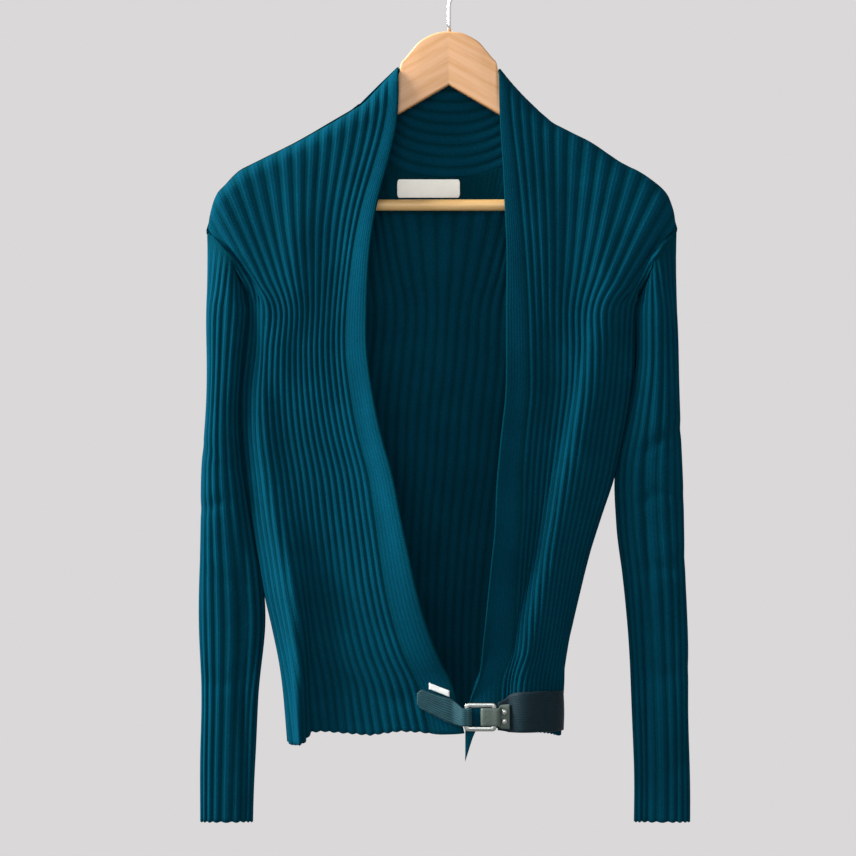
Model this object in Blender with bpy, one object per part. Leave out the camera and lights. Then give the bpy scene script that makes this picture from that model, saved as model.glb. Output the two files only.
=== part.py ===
"""Open wrap cardigan in rib knit, hanging on a flat wooden hanger, fastened by a strap and ring.

Frame: +X to the viewer's right, +Z up, the fronts face -Y. The origin is the underside of the
hook's top, where it rests on a rod. Tables are in millimetres, heights in them are drops below
the origin. Each panel is a grid of points on its plain inner face, and the wall is raised from it.
"""
import math

import bpy
import numpy as np

for old in list(bpy.data.objects):
    bpy.data.objects.remove(old, do_unlink=True)

MM = 0.001

# Cloth, in millimetres
WALL = 1.6            # knit wall between the ribs
RIB = 1.2             # extra height of a rib's crest
SEAM = 0.3            # gap between two sewn pieces
RIDGE_INSET = 2.6     # from the outline of the shoulders to the wall's inner face
SIDE_INSET = 2.6      # from the outline of the sides to the wall's inner face
UPPER_END = 345.0     # drop under the armholes where the level rows begin

# Ribs counted in the photograph, or fitted between counted ones
RIGHT_FRONT_RIBS = 20
LEFT_FRONT_RIBS = 18
FRONT_ARMHOLE_RIBS = 4
BACK_RIBS = 38
BACK_ARMHOLE_RIBS = 3
BACK_NECK_RIBS = 12
SLEEVE_RIBS = 18
COLLAR_RIBS = 9
BAND_STEPS = 4        # plain columns across the turned band at the opening
RIDGE_BAND = 14.0     # width of the band where it meets the neck, in millimetres

# Hanger, in millimetres
WOOD_HALF = 6.0       # half thickness of the flat wood
WOOD_CHAMFER = 2.2
LEAN = 0.042          # the arms lie a little lower on the viewer's right
BAR_RADIUS = 5.4
BAR_DROP = 245.3
BAR_END = 188.4
HOOK_WIRE = 2.0       # radius of the wire
HOOK_BEND = 22.0      # radius of the hook's bend at the middle of the wire

# Ring and rivets, in millimetres
RING_CENTRE = (29.5, 730.8)
RING_SIZE = (30.4, 27.0)
RING_BAR = 4.6
RING_THICK = 3.0
RING_FRONT = -37.6    # depth of the ring's front face
RIVET_X = 52.3
RIVET_DROPS = (726.0, 734.8)
RIVET_RADIUS = 3.0

# Straps, in millimetres
OVER = WALL + RIB + 0.75      # from a panel's inner face to a strap, clear of the rib crests
STRAP_THICK = 1.8
TAB = (722.6, 739.0)          # drops of the edges of both loops inside the ring

# Outline of the shoulders from the neck outward: x, drop
RIDGE = {
    "right": ((-49.8, 112.5), (-65.5, 127.5), (-84.5, 146.5), (-115, 165.5), (-148, 184.5),
              (-186, 203.5), (-203.5, 213), (-212, 222.5), (-221.5, 232), (-226.5, 243),
              (-230, 258), (-232, 273)),
    "left": ((49.4, 114.5), (60, 127.5), (78, 146.5), (100, 165.5), (137, 184.5),
             (165, 203.5), (184, 213), (197.5, 222.5), (208, 232), (213, 241.5),
             (216.5, 254), (218.5, 271)),
}
# Armhole seam from the shoulder's tip to the underarm: x, drop
ARMHOLE = {
    "right": ((-229.4, 273), (-220.5, 280), (-211.5, 290.5), (-203, 305), (-196, 320), (-191.2, 329)),
    "left": ((215.9, 271), (207.5, 278.5), (199.5, 289.5), (193, 303), (187, 318), (181, 331)),
}
ARMHOLE_DEPTH = 15.0
# Outline of the body's sides: drop, x
SIDE = {
    "right": ((345, -194), (400, -198), (430, -200.5), (460, -199.5), (490, -196), (520, -191.5),
              (545, -188), (575, -182.5), (602, -178), (621, -174), (674, -162.5), (708, -157.7),
              (752, -154), (790, -154)),
    "left": ((345, 182.5), (375, 181), (417, 176.5), (450, 170), (485, 162.5), (522, 153),
             (550, 142.5), (575, 135), (598, 129), (621, 122.5), (645, 117), (669, 111.5),
             (693, 109.5), (716, 111), (752, 107.4), (790, 107.4)),
}
# Opening edges: drop, x
OPENING = {
    "right": ((112, -46.9), (154, -47.6), (184.5, -52), (221.5, -61.8), (245, -67.7), (276, -73.8),
              (336.5, -77.2), (362, -79.3), (384, -78.1), (428, -71.7), (468, -62.7), (500, -53.6),
              (551, -43.7), (598, -33.5), (621, -28.1), (669, -11.7), (689, -2.9), (706, 5.7),
              (717, 12.9), (747, 14), (790, 14)),
    "left": ((117, 47.6), (159, 48.5), (218, 51.9), (247, 53.2), (290, 54.8), (336.5, 54.2),
             (400, 54.2), (438, 52.3), (482, 46), (536, 43.2), (591, 36.9), (621, 34.2),
             (669, 28.5), (684, 25.7), (692, 22), (702, 16.6), (745, 16.4), (778, 15)),
}
# Width of the plain band along the opening: drop, width
BAND = ((112, 19), (300, 20), (480, 25), (700, 33), (790, 33))
# Hem: x, drop
HEM = {
    "right": ((-156, 752), (-147, 759), (-138, 755), (-131, 746), (-119, 745), (-75, 748),
              (-47, 744), (-25, 745), (-15, 747), (14, 746.5)),
    "left": ((15, 778), (24, 745), (30, 741), (65, 741), (80, 744), (95, 746.5), (108, 751)),
    "back": ((-156, 752), (-130, 747), (-60, 743), (40, 742), (90, 746), (108, 751)),
}
# Folds of a front: drop, depth at the edge, x and depth of the flat, the valley and the crest
FOLDS = {
    "right": ((345, -27, -112, -18, -148, -17, -174, -18),
              (400, -31, -110, -20, -146, -18, -176, -19),
              (460, -36, -104, -22, -142, -19, -176, -21),
              (520, -41, -92, -24, -136, -20, -168, -25),
              (575, -42, -82, -26, -131, -20, -156, -30),
              (620, -41, -72, -28, -129, -19, -147, -33),
              (670, -36, -60, -29, -129, -18, -143, -35),
              (705, -30, -48, -29, -130, -18, -142, -36),
              (790, -30, -42, -29, -131, -18, -141, -36)),
    "left": ((345, -22, 88, -18, 128, -16, 148, -19),
             (400, -27, 86, -20, 119, -17, 134, -23),
             (460, -32, 82, -22, 106, -19, 121, -27),
             (520, -37, 76, -25, 91, -21, 106, -31),
             (575, -39, 68, -27, 81, -23, 96, -34),
             (620, -38, 58, -28, 70, -25, 84, -36),
             (670, -34, 46, -29, 60, -27, 74, -36),
             (705, -29, 42, -29, 56, -28, 69, -34),
             (790, -29, 42, -29, 56, -28, 69, -34)),
}
# Back: drop, depth of the middle, depth of its waves
BACK = ((345, 20, 1), (400, 24, 2), (460, 28, 3), (520, 33, 4), (575, 38, 5), (620, 41, 5.5),
        (670, 44, 6), (716, 46, 6), (790, 46, 6))
# Neck seam from the right shoulder to the left one: x, drop
NECK = ((-84.5, 146.5), (-81, 168), (-72, 189), (-58, 204), (-40, 213), (-18, 217.5), (0, 218.7),
        (18, 217.8), (40, 213.5), (59, 205), (73, 192), (81, 172), (84.5, 152.5))
NECK_DEPTH = 13.3     # back face of the collar behind the hanger
COLLAR_DIP = 11.0     # the collar's free edge dips behind the wood
# Sleeve: drop, outer x, inner x, half depth, depth of the crease along its front
SLEEVE = {
    "right": ((350, -231.5, -194.6, 19, 0), (400, -231.5, -199.4, 21, 0),
              (450, -232.8, -201.4, 21, 0), (500, -236, -196, 20, 1), (550, -237.5, -188.8, 18, 2),
              (600, -238.5, -179.4, 15, 3), (650, -238.5, -175.3, 12.5, 3.5),
              (715, -237, -181.8, 10.5, 3.5), (775, -237.5, -184.5, 9, 3), (833, -238, -186, 7.5, 2.5)),
    "left": ((350, 218.5, 184.2, 19, 0), (400, 219.5, 180.6, 21, 0),
             (450, 221.5, 171.4, 21, 1), (500, 223, 161, 20, 2), (550, 224.5, 160.8, 18, 3),
             (600, 226.5, 166, 15, 3.5), (650, 228, 170, 12.5, 3.5),
             (715, 229, 174, 10.5, 3.5), (775, 230, 176, 9, 3), (833, 230.5, 176, 7.5, 2.5)),
}
SLEEVE_CREASE = {"right": -196.0, "left": 188.0}
# Narrow strap on the right front: x, drop of its upper and lower edge
STRAP_RIGHT = ((-30, 708.5, 718.5), (-26, 705.5, 723), (-20, 707.5, 726), (-14, 709.5, 729),
               (-8, 711.8, 732), (-2, 713.2, 735), (4, 715.5, 737))
# Wide strap on the left front: x, drop of its upper and lower edge
STRAP_LEFT = ((46, 717.5, 743), (52, 714.5, 744), (58, 711, 745), (64, 708.5, 745), (69, 707.5, 745),
              (75, 707.5, 745), (82, 707.5, 745), (90, 707.5, 745), (97, 707.8, 745),
              (101, 708, 745), (104, 708.2, 745))
# Flat wood, half of it: distance from the middle, drop of its top, drop of its underside
WOOD = ((0, 80, 131), (6, 80.3, 134.5), (13, 81.7, 138.5), (21, 85.2, 143.2), (28.5, 90, 147.5),
        (36, 98.5, 151.8), (42, 105.8, 155.3), (45.5, 109.8, 157.4), (47, 118, 158.2),
        (54, 128, 162), (60, 136, 165.3), (73, 153, 172.6), (86, 165.5, 181.5), (115, 180, 197.5),
        (150, 198.5, 216), (185, 217.5, 233), (188.8, 219.5, 233.5), (191, 221, 251),
        (196, 226, 256), (201, 234, 252), (203, 241, 247))

TEAL = (0.004, 0.118, 0.196, 1.0)
DARK = (0.015, 0.03, 0.042, 1.0)


# Curves
def smooth(table, at, column=1):
    """Cubic through the rows of a table, read at the values `at` of its first column."""
    rows = np.asarray(table, float)
    key = rows[:, 0]
    value = rows[:, column]
    step = np.diff(value) / np.diff(key)
    slope = np.empty(len(key))
    slope[0] = step[0]
    slope[-1] = step[-1]
    level = step[:-1] * step[1:] <= 0
    mean = 2 * step[:-1] * step[1:] / np.where(level, 1, step[:-1] + step[1:])
    slope[1:-1] = np.where(level, 0, mean)
    at = np.clip(np.asarray(at, float), key[0], key[-1])
    cell = np.clip(np.searchsorted(key, at) - 1, 0, len(key) - 2)
    width = key[cell + 1] - key[cell]
    t = (at - key[cell]) / width
    return (value[cell] * (1 + 2 * t) * (1 - t) ** 2 + value[cell + 1] * t * t * (3 - 2 * t)
            + width * (slope[cell] * t * (1 - t) ** 2 - slope[cell + 1] * t * t * (1 - t)))


def lengths(points):
    """Distance along a line of points from its first one."""
    steps = np.linalg.norm(np.diff(points, axis=0), axis=1)
    return np.concatenate([[0], np.cumsum(steps)])


def along(points, distance):
    """Points at the given distances along a line of points."""
    points = np.asarray(points, float)
    run = lengths(points)
    return np.stack([np.interp(distance, run, points[:, i]) for i in range(points.shape[1])], -1)


def spline(points, count=160):
    """Smooth line through a few points, keyed by their distance along the line."""
    points = np.asarray(points, float)
    table = np.column_stack([lengths(points), points])
    at = np.linspace(0, table[-1, 0], count)
    return np.stack([smooth(table, at, i + 1) for i in range(points.shape[1])], -1)


def inset(points, distance, side):
    """Move an x and drop line inward, down and toward the middle."""
    points = np.asarray(points, float)
    run = np.gradient(points, axis=0)
    run = run / np.linalg.norm(run, axis=1)[:, None]
    inward = np.stack([-side * run[:, 1], side * run[:, 0]], -1)
    return points + distance * inward


def sign(side):
    """-1 for the wearer's right side, which is on the viewer's left, and +1 for the left."""
    return -1.0 if side == "right" else 1.0


# Walls
def unit(vectors):
    return vectors / np.maximum(np.linalg.norm(vectors, axis=-1), 1e-9)[..., None]


def facing(base, wrap, outward):
    """Normals of a grid of points, turned to the side given by the sign `outward`."""
    if wrap:
        across = np.roll(base, -1, axis=1) - np.roll(base, 1, axis=1)
    else:
        across = np.gradient(base, axis=1)
    down = np.gradient(base, axis=0)
    return unit(np.cross(across, down)) * outward


def make(name, points, faces, color, roughness=0.9, metallic=0.0, smooth_shade=True):
    """One closed mesh in metres with its own material, faces turned outward."""
    points = np.asarray(points, float) * MM
    faces = np.asarray(faces)
    a, b, c = points[faces[:, 0]], points[faces[:, 1]], points[faces[:, 2]]
    if np.einsum("ij,ij->i", a, np.cross(b, c)).sum() < 0:
        faces = faces[:, ::-1]
    mesh = bpy.data.meshes.new(name)
    mesh.from_pydata(points.tolist(), [], faces.tolist())
    mesh.validate()
    mesh.polygons.foreach_set("use_smooth", [smooth_shade] * len(mesh.polygons))
    material = bpy.data.materials.new(name)
    material.use_nodes = True
    shader = material.node_tree.nodes["Principled BSDF"]
    shader.inputs["Base Color"].default_value = color
    shader.inputs["Roughness"].default_value = roughness
    shader.inputs["Metallic"].default_value = metallic
    mesh.materials.append(material)
    body = bpy.data.objects.new(name, mesh)
    bpy.context.scene.collection.objects.link(body)
    return body


def sheet_faces(index, wrap):
    """Two triangles for each cell of a grid of point numbers."""
    right = np.roll(index, -1, axis=1) if wrap else index[:, 1:]
    left = index if wrap else index[:, :-1]
    a, b, c, d = left[:-1], right[:-1], right[1:], left[1:]
    one = np.stack([a, b, c], -1).reshape(-1, 3)
    two = np.stack([a, c, d], -1).reshape(-1, 3)
    return np.concatenate([one, two])


def rim_faces(outer, inner, wrap):
    """Close an end of the wall: two outer steps for each inner one."""
    faces = []
    steps = len(inner) if wrap else len(inner) - 1
    for i in range(steps):
        o0, o1, o2 = outer[2 * i], outer[2 * i + 1], outer[(2 * i + 2) % len(outer)]
        n0, n1 = inner[i], inner[(i + 1) % len(inner)]
        faces += [(o0, n0, o1), (o1, n0, n1), (o1, n1, o2)]
    return faces


def wall(name, base, normal, height, color=TEAL, wrap=False):
    """A wall raised by `height` along `normal`, over an inner face with half the columns."""
    rows, columns = base.shape[:2]
    outer = base + normal * height[..., None]
    inner = base[:, ::2]
    outer_index = np.arange(rows * columns).reshape(rows, columns)
    inner_index = outer_index.size + np.arange(inner.shape[0] * inner.shape[1])
    inner_index = inner_index.reshape(inner.shape[:2])
    faces = [sheet_faces(outer_index, wrap), sheet_faces(inner_index, wrap)[:, ::-1]]
    faces.append(np.array(rim_faces(outer_index[0], inner_index[0], wrap)))
    faces.append(np.array(rim_faces(outer_index[-1], inner_index[-1], wrap))[:, ::-1])
    if not wrap:
        first = np.stack([outer_index[:, 0], inner_index[:, 0]], 1)
        last = np.stack([outer_index[:, -1], inner_index[:, -1]], 1)
        faces += [sheet_faces(first, False)[:, ::-1], sheet_faces(last, False)]
    points = np.concatenate([outer.reshape(-1, 3), inner.reshape(-1, 3)])
    return make(name, points, np.concatenate(faces), color)


def ribbed(rows, ribs, plain):
    """Wall height of each grid point: the plain columns, then the ribs, low near the top seam."""
    height = np.full((rows, plain + 2 * ribs + 1), WALL)
    height[:, plain + 1::2] += RIB
    for row, share in enumerate((0, 0.15, 0.6)):
        height[row] = WALL + share * (height[row] - WALL)
    return height


def ease_seam(normal, sewn):
    """Turn the wall's direction slowly away from the armhole over the first rows."""
    for row, share in ((1, 0.9), (2, 0.6)):
        eased = share * normal[0, sewn] + (1 - share) * normal[row, sewn]
        normal[row, sewn] = unit(eased)


# Seams that two pieces share
def ridge(side):
    """Inner face of the shoulder fold, from the neck to the shoulder's tip."""
    line = np.asarray(RIDGE[side], float)
    moved = inset(line, RIDGE_INSET, sign(side))
    moved[-1] = ARMHOLE[side][0]
    return moved


def armhole_corners(side, back):
    """Corners of the armhole's inner edge and the way the body's and sleeve's walls stand there."""
    ribs = BACK_ARMHOLE_RIBS if back else FRONT_ARMHOLE_RIBS
    share = np.linspace(0, 1, 2 * ribs + 1)
    line = spline(ARMHOLE[side])
    flat = along(line, share * lengths(line)[-1])
    depth = np.maximum(ARMHOLE_DEPTH * np.sin(np.pi * share) ** 0.8, SEAM / 2)
    way = 1 if back else -1
    points = np.column_stack([flat, way * depth])
    level = np.cos(np.pi * share)
    sleeve_way = np.column_stack([sign(side) * level, way * np.sin(np.pi * share), 0 * share])
    body_way = sleeve_way.copy()
    body_way[:, 0] = sign(side) * np.abs(level)
    return share, points, body_way, sleeve_way


def to_columns(share, rows, at):
    """Read rows given at `share` at other shares, in straight steps."""
    return np.stack([np.interp(at, share, rows[:, i]) for i in range(rows.shape[1])], -1)


def inside_armhole(side, x, drop, low):
    """Keep the columns of a half panel, numbered toward its side seam, on the body's side."""
    s = sign(side)
    columns = np.arange(len(x))
    index = len(x) - len(low) + np.arange(len(low))
    at = np.interp(drop, low[:, 1], index)
    seam_x = np.interp(drop, low[:, 1], low[:, 0])
    fade = np.clip((UPPER_END - drop) / (UPPER_END - low[-1, 1]), 0, 1)
    held = np.minimum(s * x, s * seam_x - 1.4 * np.maximum(at - columns, 0) * fade)
    return np.where((drop > low[0, 1]) & (columns < at), s * held, x)


def neck_seam(shares):
    """Points of the neck seam, on the straight steps that the back and the collar share."""
    line = spline(NECK)
    corners = np.linspace(0, 1, BACK_NECK_RIBS + 1)
    return to_columns(corners, along(line, lengths(line)[-1] * corners), shares)


def to_world(grid):
    """From x, drop, depth to x, depth, height."""
    return np.stack([grid[..., 0], grid[..., 2], -grid[..., 1]], -1)


# Fronts
FRONT_DROPS = (345, 383, 422, 462, 502, 540, 575, 608, 640, 672, 702)
UPPER_STEPS = 8


def front_section(side, drop, ribs):
    """x and depth of the columns of a front at one drop, from its opening to its side seam."""
    s = sign(side)
    depth_edge, flat_x, flat_y, valley_x, valley_y, crest_x, crest_y = (
        float(smooth(FOLDS[side], drop, i)) for i in range(1, 8))
    edge = float(smooth(OPENING[side], drop))
    seam = float(smooth(SIDE[side], drop)) - s * SIDE_INSET
    line = spline(((edge, depth_edge), (flat_x, flat_y), (valley_x, valley_y), (crest_x, crest_y),
                   (seam - s * 9, 0.62 * crest_y), (seam - s * 1.5, 0.3 * crest_y), (seam, -SEAM / 2)))
    total = lengths(line)[-1]
    band = float(smooth(BAND, drop)) * np.arange(BAND_STEPS) / BAND_STEPS
    rest = np.linspace(float(smooth(BAND, drop)), total, 2 * ribs + 1)
    return along(line, np.concatenate([band, rest]))


def front_grid(side, ribs):
    """Base points of a front and the wall's direction at them."""
    s = sign(side)
    line = ridge(side)
    ridge_length = lengths(line)[-1]
    share = np.linspace(0, 1, 2 * ribs + 1)
    tip = 1 - FRONT_ARMHOLE_RIBS / ribs
    band = RIDGE_BAND
    on_ridge = share <= tip + 1e-9
    distance = band + (ridge_length - band) * np.minimum(share / tip, 1) ** 1.06
    top = along(line, np.concatenate([band * np.arange(BAND_STEPS) / BAND_STEPS, distance]))
    top = np.column_stack([top, np.full(len(top), -SEAM / 2)])
    low, body_way = armhole_corners(side, False)[1:3]
    sewn = np.concatenate([np.zeros(BAND_STEPS, bool), ~on_ridge])
    top[sewn] = low[1:]

    level = front_section(side, UPPER_END, ribs)
    across = np.linspace(0, 1, len(top))
    near_tip = np.clip((BAND_STEPS / len(top) + tip * (1 - BAND_STEPS / len(top)) - across) / 0.12, 0, 1)
    lift = np.where(sewn, 0, -9.2 * near_tip * near_tip * (3 - 2 * near_tip))
    edge_top = float(smooth(OPENING[side], top[0, 1]))
    rows = []
    for t in (np.arange(UPPER_STEPS) / UPPER_STEPS) ** 2:
        drop = top[:, 1] + t * (UPPER_END - top[:, 1])
        straight = (drop - top[0, 1]) / (UPPER_END - top[0, 1])
        bend = smooth(OPENING[side], drop) - (edge_top + straight * (level[0, 0] - edge_top))
        x = top[:, 0] + t * (level[:, 0] - top[:, 0]) + (1 - across) ** 2 * bend
        x = inside_armhole(side, x, drop, low)
        over = 1 - np.exp(-(drop - top[:, 1]) / 3.3)
        depth = top[:, 2] + over * lift + t * (level[:, 1] - top[:, 2] - lift)
        rows.append(np.column_stack([x, drop, depth]))
    last = front_section(side, 745, ribs)
    hem = np.interp(last[:, 0], *np.array(HEM[side], float).T)
    for drop in FRONT_DROPS + (745,):
        share_down = (drop - UPPER_END) / (745 - UPPER_END)
        columns = front_section(side, drop, ribs)
        level_drop = UPPER_END + share_down * (hem - UPPER_END)
        tail = level_drop > 746
        x = columns[:, 0].copy()
        x[:2] += np.where(tail[:2], smooth(OPENING[side], level_drop[:2]) - columns[0, 0], 0) * (
            np.array([1.0, 0.6]))
        rows.append(np.column_stack([x, level_drop, columns[:, 1]]))
    grid = to_world(np.array(rows))

    normal = facing(grid, False, -s)
    close = grid[..., 1] > -6
    normal[close, 1] = np.minimum(normal[close, 1], 0)
    ridge_columns = ~sewn
    normal[0, ridge_columns, 1] = 0
    normal[:, -1, 1] = 0
    normal = unit(normal)
    normal[0, sewn] = body_way[1:]
    tip_column = BAND_STEPS + int(round(2 * ribs * tip))
    normal[0, tip_column] = (s, 0, 0)
    ease_seam(normal, sewn)
    return grid, normal


def front(name, side, ribs):
    grid, normal = front_grid(side, ribs)
    height = ribbed(len(grid), ribs, BAND_STEPS)
    wall(name, grid, normal, height)
    return grid


# Back
BACK_DROPS = (345, 395, 445, 495, 545, 595, 645, 695)


def back_section(drop):
    """x and depth of the back's columns at one drop, from the right seam to the left one."""
    right = float(smooth(SIDE["right"], drop)) + SIDE_INSET
    left = float(smooth(SIDE["left"], drop)) - SIDE_INSET
    depth = float(smooth(BACK, drop, 1))
    wave = float(smooth(BACK, drop, 2))
    middle = []
    for i, share in enumerate((0.14, 0.28, 0.42, 0.57, 0.71, 0.86)):
        side_fall = 0.12 * depth if i in (0, 5) else 0
        swing = wave * (1 if i % 2 else -1)
        middle.append((right + share * (left - right), depth - side_fall + swing))
    line = spline([(right, SEAM / 2), (right + 1.5, 0.3 * depth), (right + 9, 0.62 * depth)] + middle
                  + [(left - 9, 0.62 * depth), (left - 1.5, 0.3 * depth), (left, SEAM / 2)], 260)
    return along(line, np.linspace(0, lengths(line)[-1], 2 * BACK_RIBS + 1))


def back_grid():
    """Base points of the back and the wall's direction at them."""
    arm = 2 * BACK_ARMHOLE_RIBS
    neck = 2 * BACK_NECK_RIBS
    shoulder = BACK_RIBS - 2 * BACK_ARMHOLE_RIBS - BACK_NECK_RIBS
    parts = []
    lows = []
    for side in ("right", "left"):
        line = spline(ridge(side))
        start = np.argmin(np.abs(line[:, 0] - sign(side) * (84.5 + 0.2)))
        line = line[start:]
        run = lengths(line)[-1] * np.linspace(1, 0, shoulder + 1)
        seam = along(line, run)
        seam = np.column_stack([seam, np.full(len(seam), SEAM / 2)])
        low = armhole_corners(side, True)[1]
        parts.append(np.concatenate([low[:0:-1], seam]))
        lows.append(low)
    share = np.linspace(0, 1, neck + 1)[1:-1]
    centre = neck_seam(share) + np.array([0, SEAM + 0.15])
    centre[:, 0] *= 1 + 0.012 * (2 * share - 1) ** 2
    near = 225 * np.minimum(share, 1 - share)
    centre = np.column_stack([centre, SEAM / 2 + 11.0 * (1 - np.exp(-near / 3.3))])
    top = np.concatenate([parts[0], centre, parts[1][::-1]])
    kind = np.zeros(len(top), int)
    kind[:arm] = 1
    kind[-arm:] = 1
    kind[arm + shoulder + 1:arm + shoulder + neck] = 2

    level = back_section(UPPER_END)
    across = np.abs(np.linspace(-1, 1, len(top)))
    tip = 1 - 2 * arm / len(top)
    near_tip = np.clip((tip - across) / 0.1, 0, 1)
    lift = np.where(kind == 0, 10.2 * near_tip * near_tip * (3 - 2 * near_tip), 0)
    rows = []
    for t in (np.arange(UPPER_STEPS) / UPPER_STEPS) ** 2:
        drop = top[:, 1] + t * (UPPER_END - top[:, 1])
        x = top[:, 0] + t * (level[:, 0] - top[:, 0])
        x = inside_armhole("left", x, drop, lows[1])
        x = inside_armhole("right", x[::-1], drop[::-1], lows[0])[::-1]
        over = 1 - np.exp(-(drop - top[:, 1]) / 3.3)
        depth = top[:, 2] + over * lift + t * (level[:, 1] - top[:, 2] - lift)
        rows.append(np.column_stack([x, drop, depth]))
    last = back_section(745)
    hem = np.interp(last[:, 0], *np.array(HEM["back"], float).T)
    for drop in BACK_DROPS + (745,):
        share_down = (drop - UPPER_END) / (745 - UPPER_END)
        columns = back_section(drop)
        rows.append(np.column_stack([columns[:, 0], UPPER_END + share_down * (hem - UPPER_END),
                                     columns[:, 1]]))
    grid = to_world(np.array(rows))
    normal = facing(grid, False, 1)
    close = grid[..., 1] < 6
    normal[close, 1] = np.maximum(normal[close, 1], 0)
    normal[0, kind == 0, 1] = 0
    normal[:, 0, 1] = 0
    normal[:, -1, 1] = 0
    normal = unit(normal)
    normal[0, :arm] = armhole_corners("right", True)[2][:0:-1]
    normal[0, -arm:] = armhole_corners("left", True)[2][1:]
    normal[0, arm] = (-1, 0, 0)
    normal[0, -arm - 1] = (1, 0, 0)
    ease_seam(normal, kind == 1)
    return grid, normal


# Sleeves
def sleeve_ring(side, row):
    """One level ring of a sleeve, from the outer side round the front to the inner side and back."""
    drop, outer, inner, half, crease = row
    s = sign(side)
    outer = outer - s * (WALL + RIB)
    inner = inner + s * (WALL + RIB)
    half = half - WALL - RIB
    turn = 2 * np.pi * np.arange(2 * SLEEVE_RIBS) / (2 * SLEEVE_RIBS)
    cos, sin = np.cos(turn), np.sin(turn)
    x = (outer + inner) / 2 + (outer - inner) / 2 * np.sign(cos) * np.abs(cos) ** 0.85
    depth = -half * np.sign(sin) * np.abs(sin) ** 0.75
    dent = crease * np.exp(-((x - SLEEVE_CREASE[side]) / 5.5) ** 2)
    depth = depth + np.where(sin > 0.05, dent, 0)
    return np.column_stack([x, np.full(len(x), float(drop)), depth])


def sleeve(name, side):
    """A ribbed tube from the armhole to the open cuff."""
    s = sign(side)
    half = SLEEVE_RIBS
    fraction = np.concatenate([np.linspace(0, 1, half + 1), np.linspace(1, 0, half + 1)[1:-1]])
    back = (np.arange(2 * half) > half)[:, None]
    front_seam = armhole_corners(side, False)
    back_seam = armhole_corners(side, True)
    seams = [np.where(back, to_columns(back_seam[0], back_seam[i], fraction),
                      to_columns(front_seam[0], front_seam[i], fraction)) for i in (1, 2, 3)]
    ring, body_way, sleeve_way = seams
    line = spline(ARMHOLE[side])
    here = lengths(line)[-1] * fraction
    step = along(line, here + 2) - along(line, here - 2)
    away = unit(np.column_stack([s * step[:, 1], -s * step[:, 0], np.zeros(len(step))]))
    spread = WALL * np.abs(body_way[:, 0] - sleeve_way[:, 0])
    ring = ring + (SEAM + 0.2 + 0.9 * np.sin(np.pi * np.minimum(2 * fraction, 1)))[:, None] * away
    ring[:, 0] += s * spread
    first = sleeve_ring(side, SLEEVE[side][0])
    rows = [ring]
    for t in (0.12, 0.34, 0.64):
        clear = np.array([s * 2.2, 0, 0]) * fraction[:, None] ** 2 * (1 - t)
        rows.append(ring + t * (first - ring) + clear)
    for row in SLEEVE[side]:
        rows.append(sleeve_ring(side, row))
    grid = to_world(np.array(rows))
    normal = facing(grid, True, s)
    normal[0] = sleeve_way
    normal[1] = unit(0.7 * sleeve_way + 0.3 * normal[1])
    height = np.full(grid.shape[:2], WALL)
    height[1:, 1::2] += RIB
    height[1, 1::2] -= 0.7 * RIB
    wall(name, grid, normal, height, wrap=True)


# Collar
def collar():
    """Back-neck part of the shawl collar, its ribs running across and raised toward the front."""
    shares = np.sort(np.concatenate([np.linspace(0, 1, BACK_NECK_RIBS + 1),
                                     (0.012, 0.032, 0.968, 0.988)]))
    low = neck_seam(shares)
    start = np.array(RIDGE["right"][0], float)
    end = np.array(RIDGE["left"][0], float)
    high = start + shares[:, None] * (end - start)
    high[:, 1] += COLLAR_DIP * np.sin(np.pi * shares) ** 0.8
    count = 2 * COLLAR_RIBS + 1
    right = along(np.array(RIDGE["right"][:3], float), np.linspace(
        0, lengths(np.array(RIDGE["right"][:3], float))[-1], count))
    ends_left = spline(RIDGE["left"])
    ends_left = ends_left[ends_left[:, 0] < 84.5]
    left = along(ends_left, np.linspace(0, lengths(ends_left)[-1], count))
    rows = []
    for k, v in enumerate(np.linspace(0, 1, count)):
        row = high + v * (low - high)
        fix_right = right[k] - row[0]
        fix_left = left[k] - row[-1]
        weight = np.exp(-shares / 0.03)[:, None]
        row = row + weight * fix_right + weight[::-1] * fix_left
        near = np.minimum(np.linalg.norm(row - row[0], axis=1), np.linalg.norm(row - row[-1], axis=1))
        depth = SEAM / 2 + (NECK_DEPTH - SEAM / 2) * (1 - np.exp(-near / 2.5))
        rows.append(np.column_stack([row, depth]))
    grid = to_world(np.array(rows)).transpose(1, 0, 2)
    normal = facing(grid, False, 1)
    if normal[8, 9, 1] > 0:
        normal = -normal
    for end_row in (0, -1):
        normal[end_row, :, 1] = 0
    normal = unit(normal)
    height = np.full(grid.shape[:2], WALL)
    height[:, 1::2] += RIB
    wall("collar", grid, normal, height)


# Pieces that lie on a panel
def slab(name, inner, outer, color, metallic=0.0, roughness=0.9):
    """A closed plate between two grids of points of the same size."""
    rows, columns = inner.shape[:2]
    top = np.arange(rows * columns).reshape(rows, columns)
    low = top + top.size
    faces = [sheet_faces(top, False), sheet_faces(low, False)[:, ::-1]]
    for line in ((top[0], low[0], 1), (top[-1], low[-1], -1), (top[:, 0], low[:, 0], -1),
                 (top[:, -1], low[:, -1], 1)):
        side = sheet_faces(np.stack([line[1], line[0]], 0), False)
        faces.append(side if line[2] > 0 else side[:, ::-1])
    points = np.concatenate([outer.reshape(-1, 3), inner.reshape(-1, 3)])
    return make(name, points, np.concatenate(faces), color, roughness, metallic)


def panel_line(grid, drop):
    """x and depth of a panel's inner face at one drop, with its level normals."""
    line = []
    for column in range(grid.shape[1]):
        z = -grid[:, column, 2]
        if z[0] <= drop <= z[-1]:
            line.append((np.interp(drop, z, grid[:, column, 0]), np.interp(drop, z, grid[:, column, 1])))
    return np.array(line)


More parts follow.
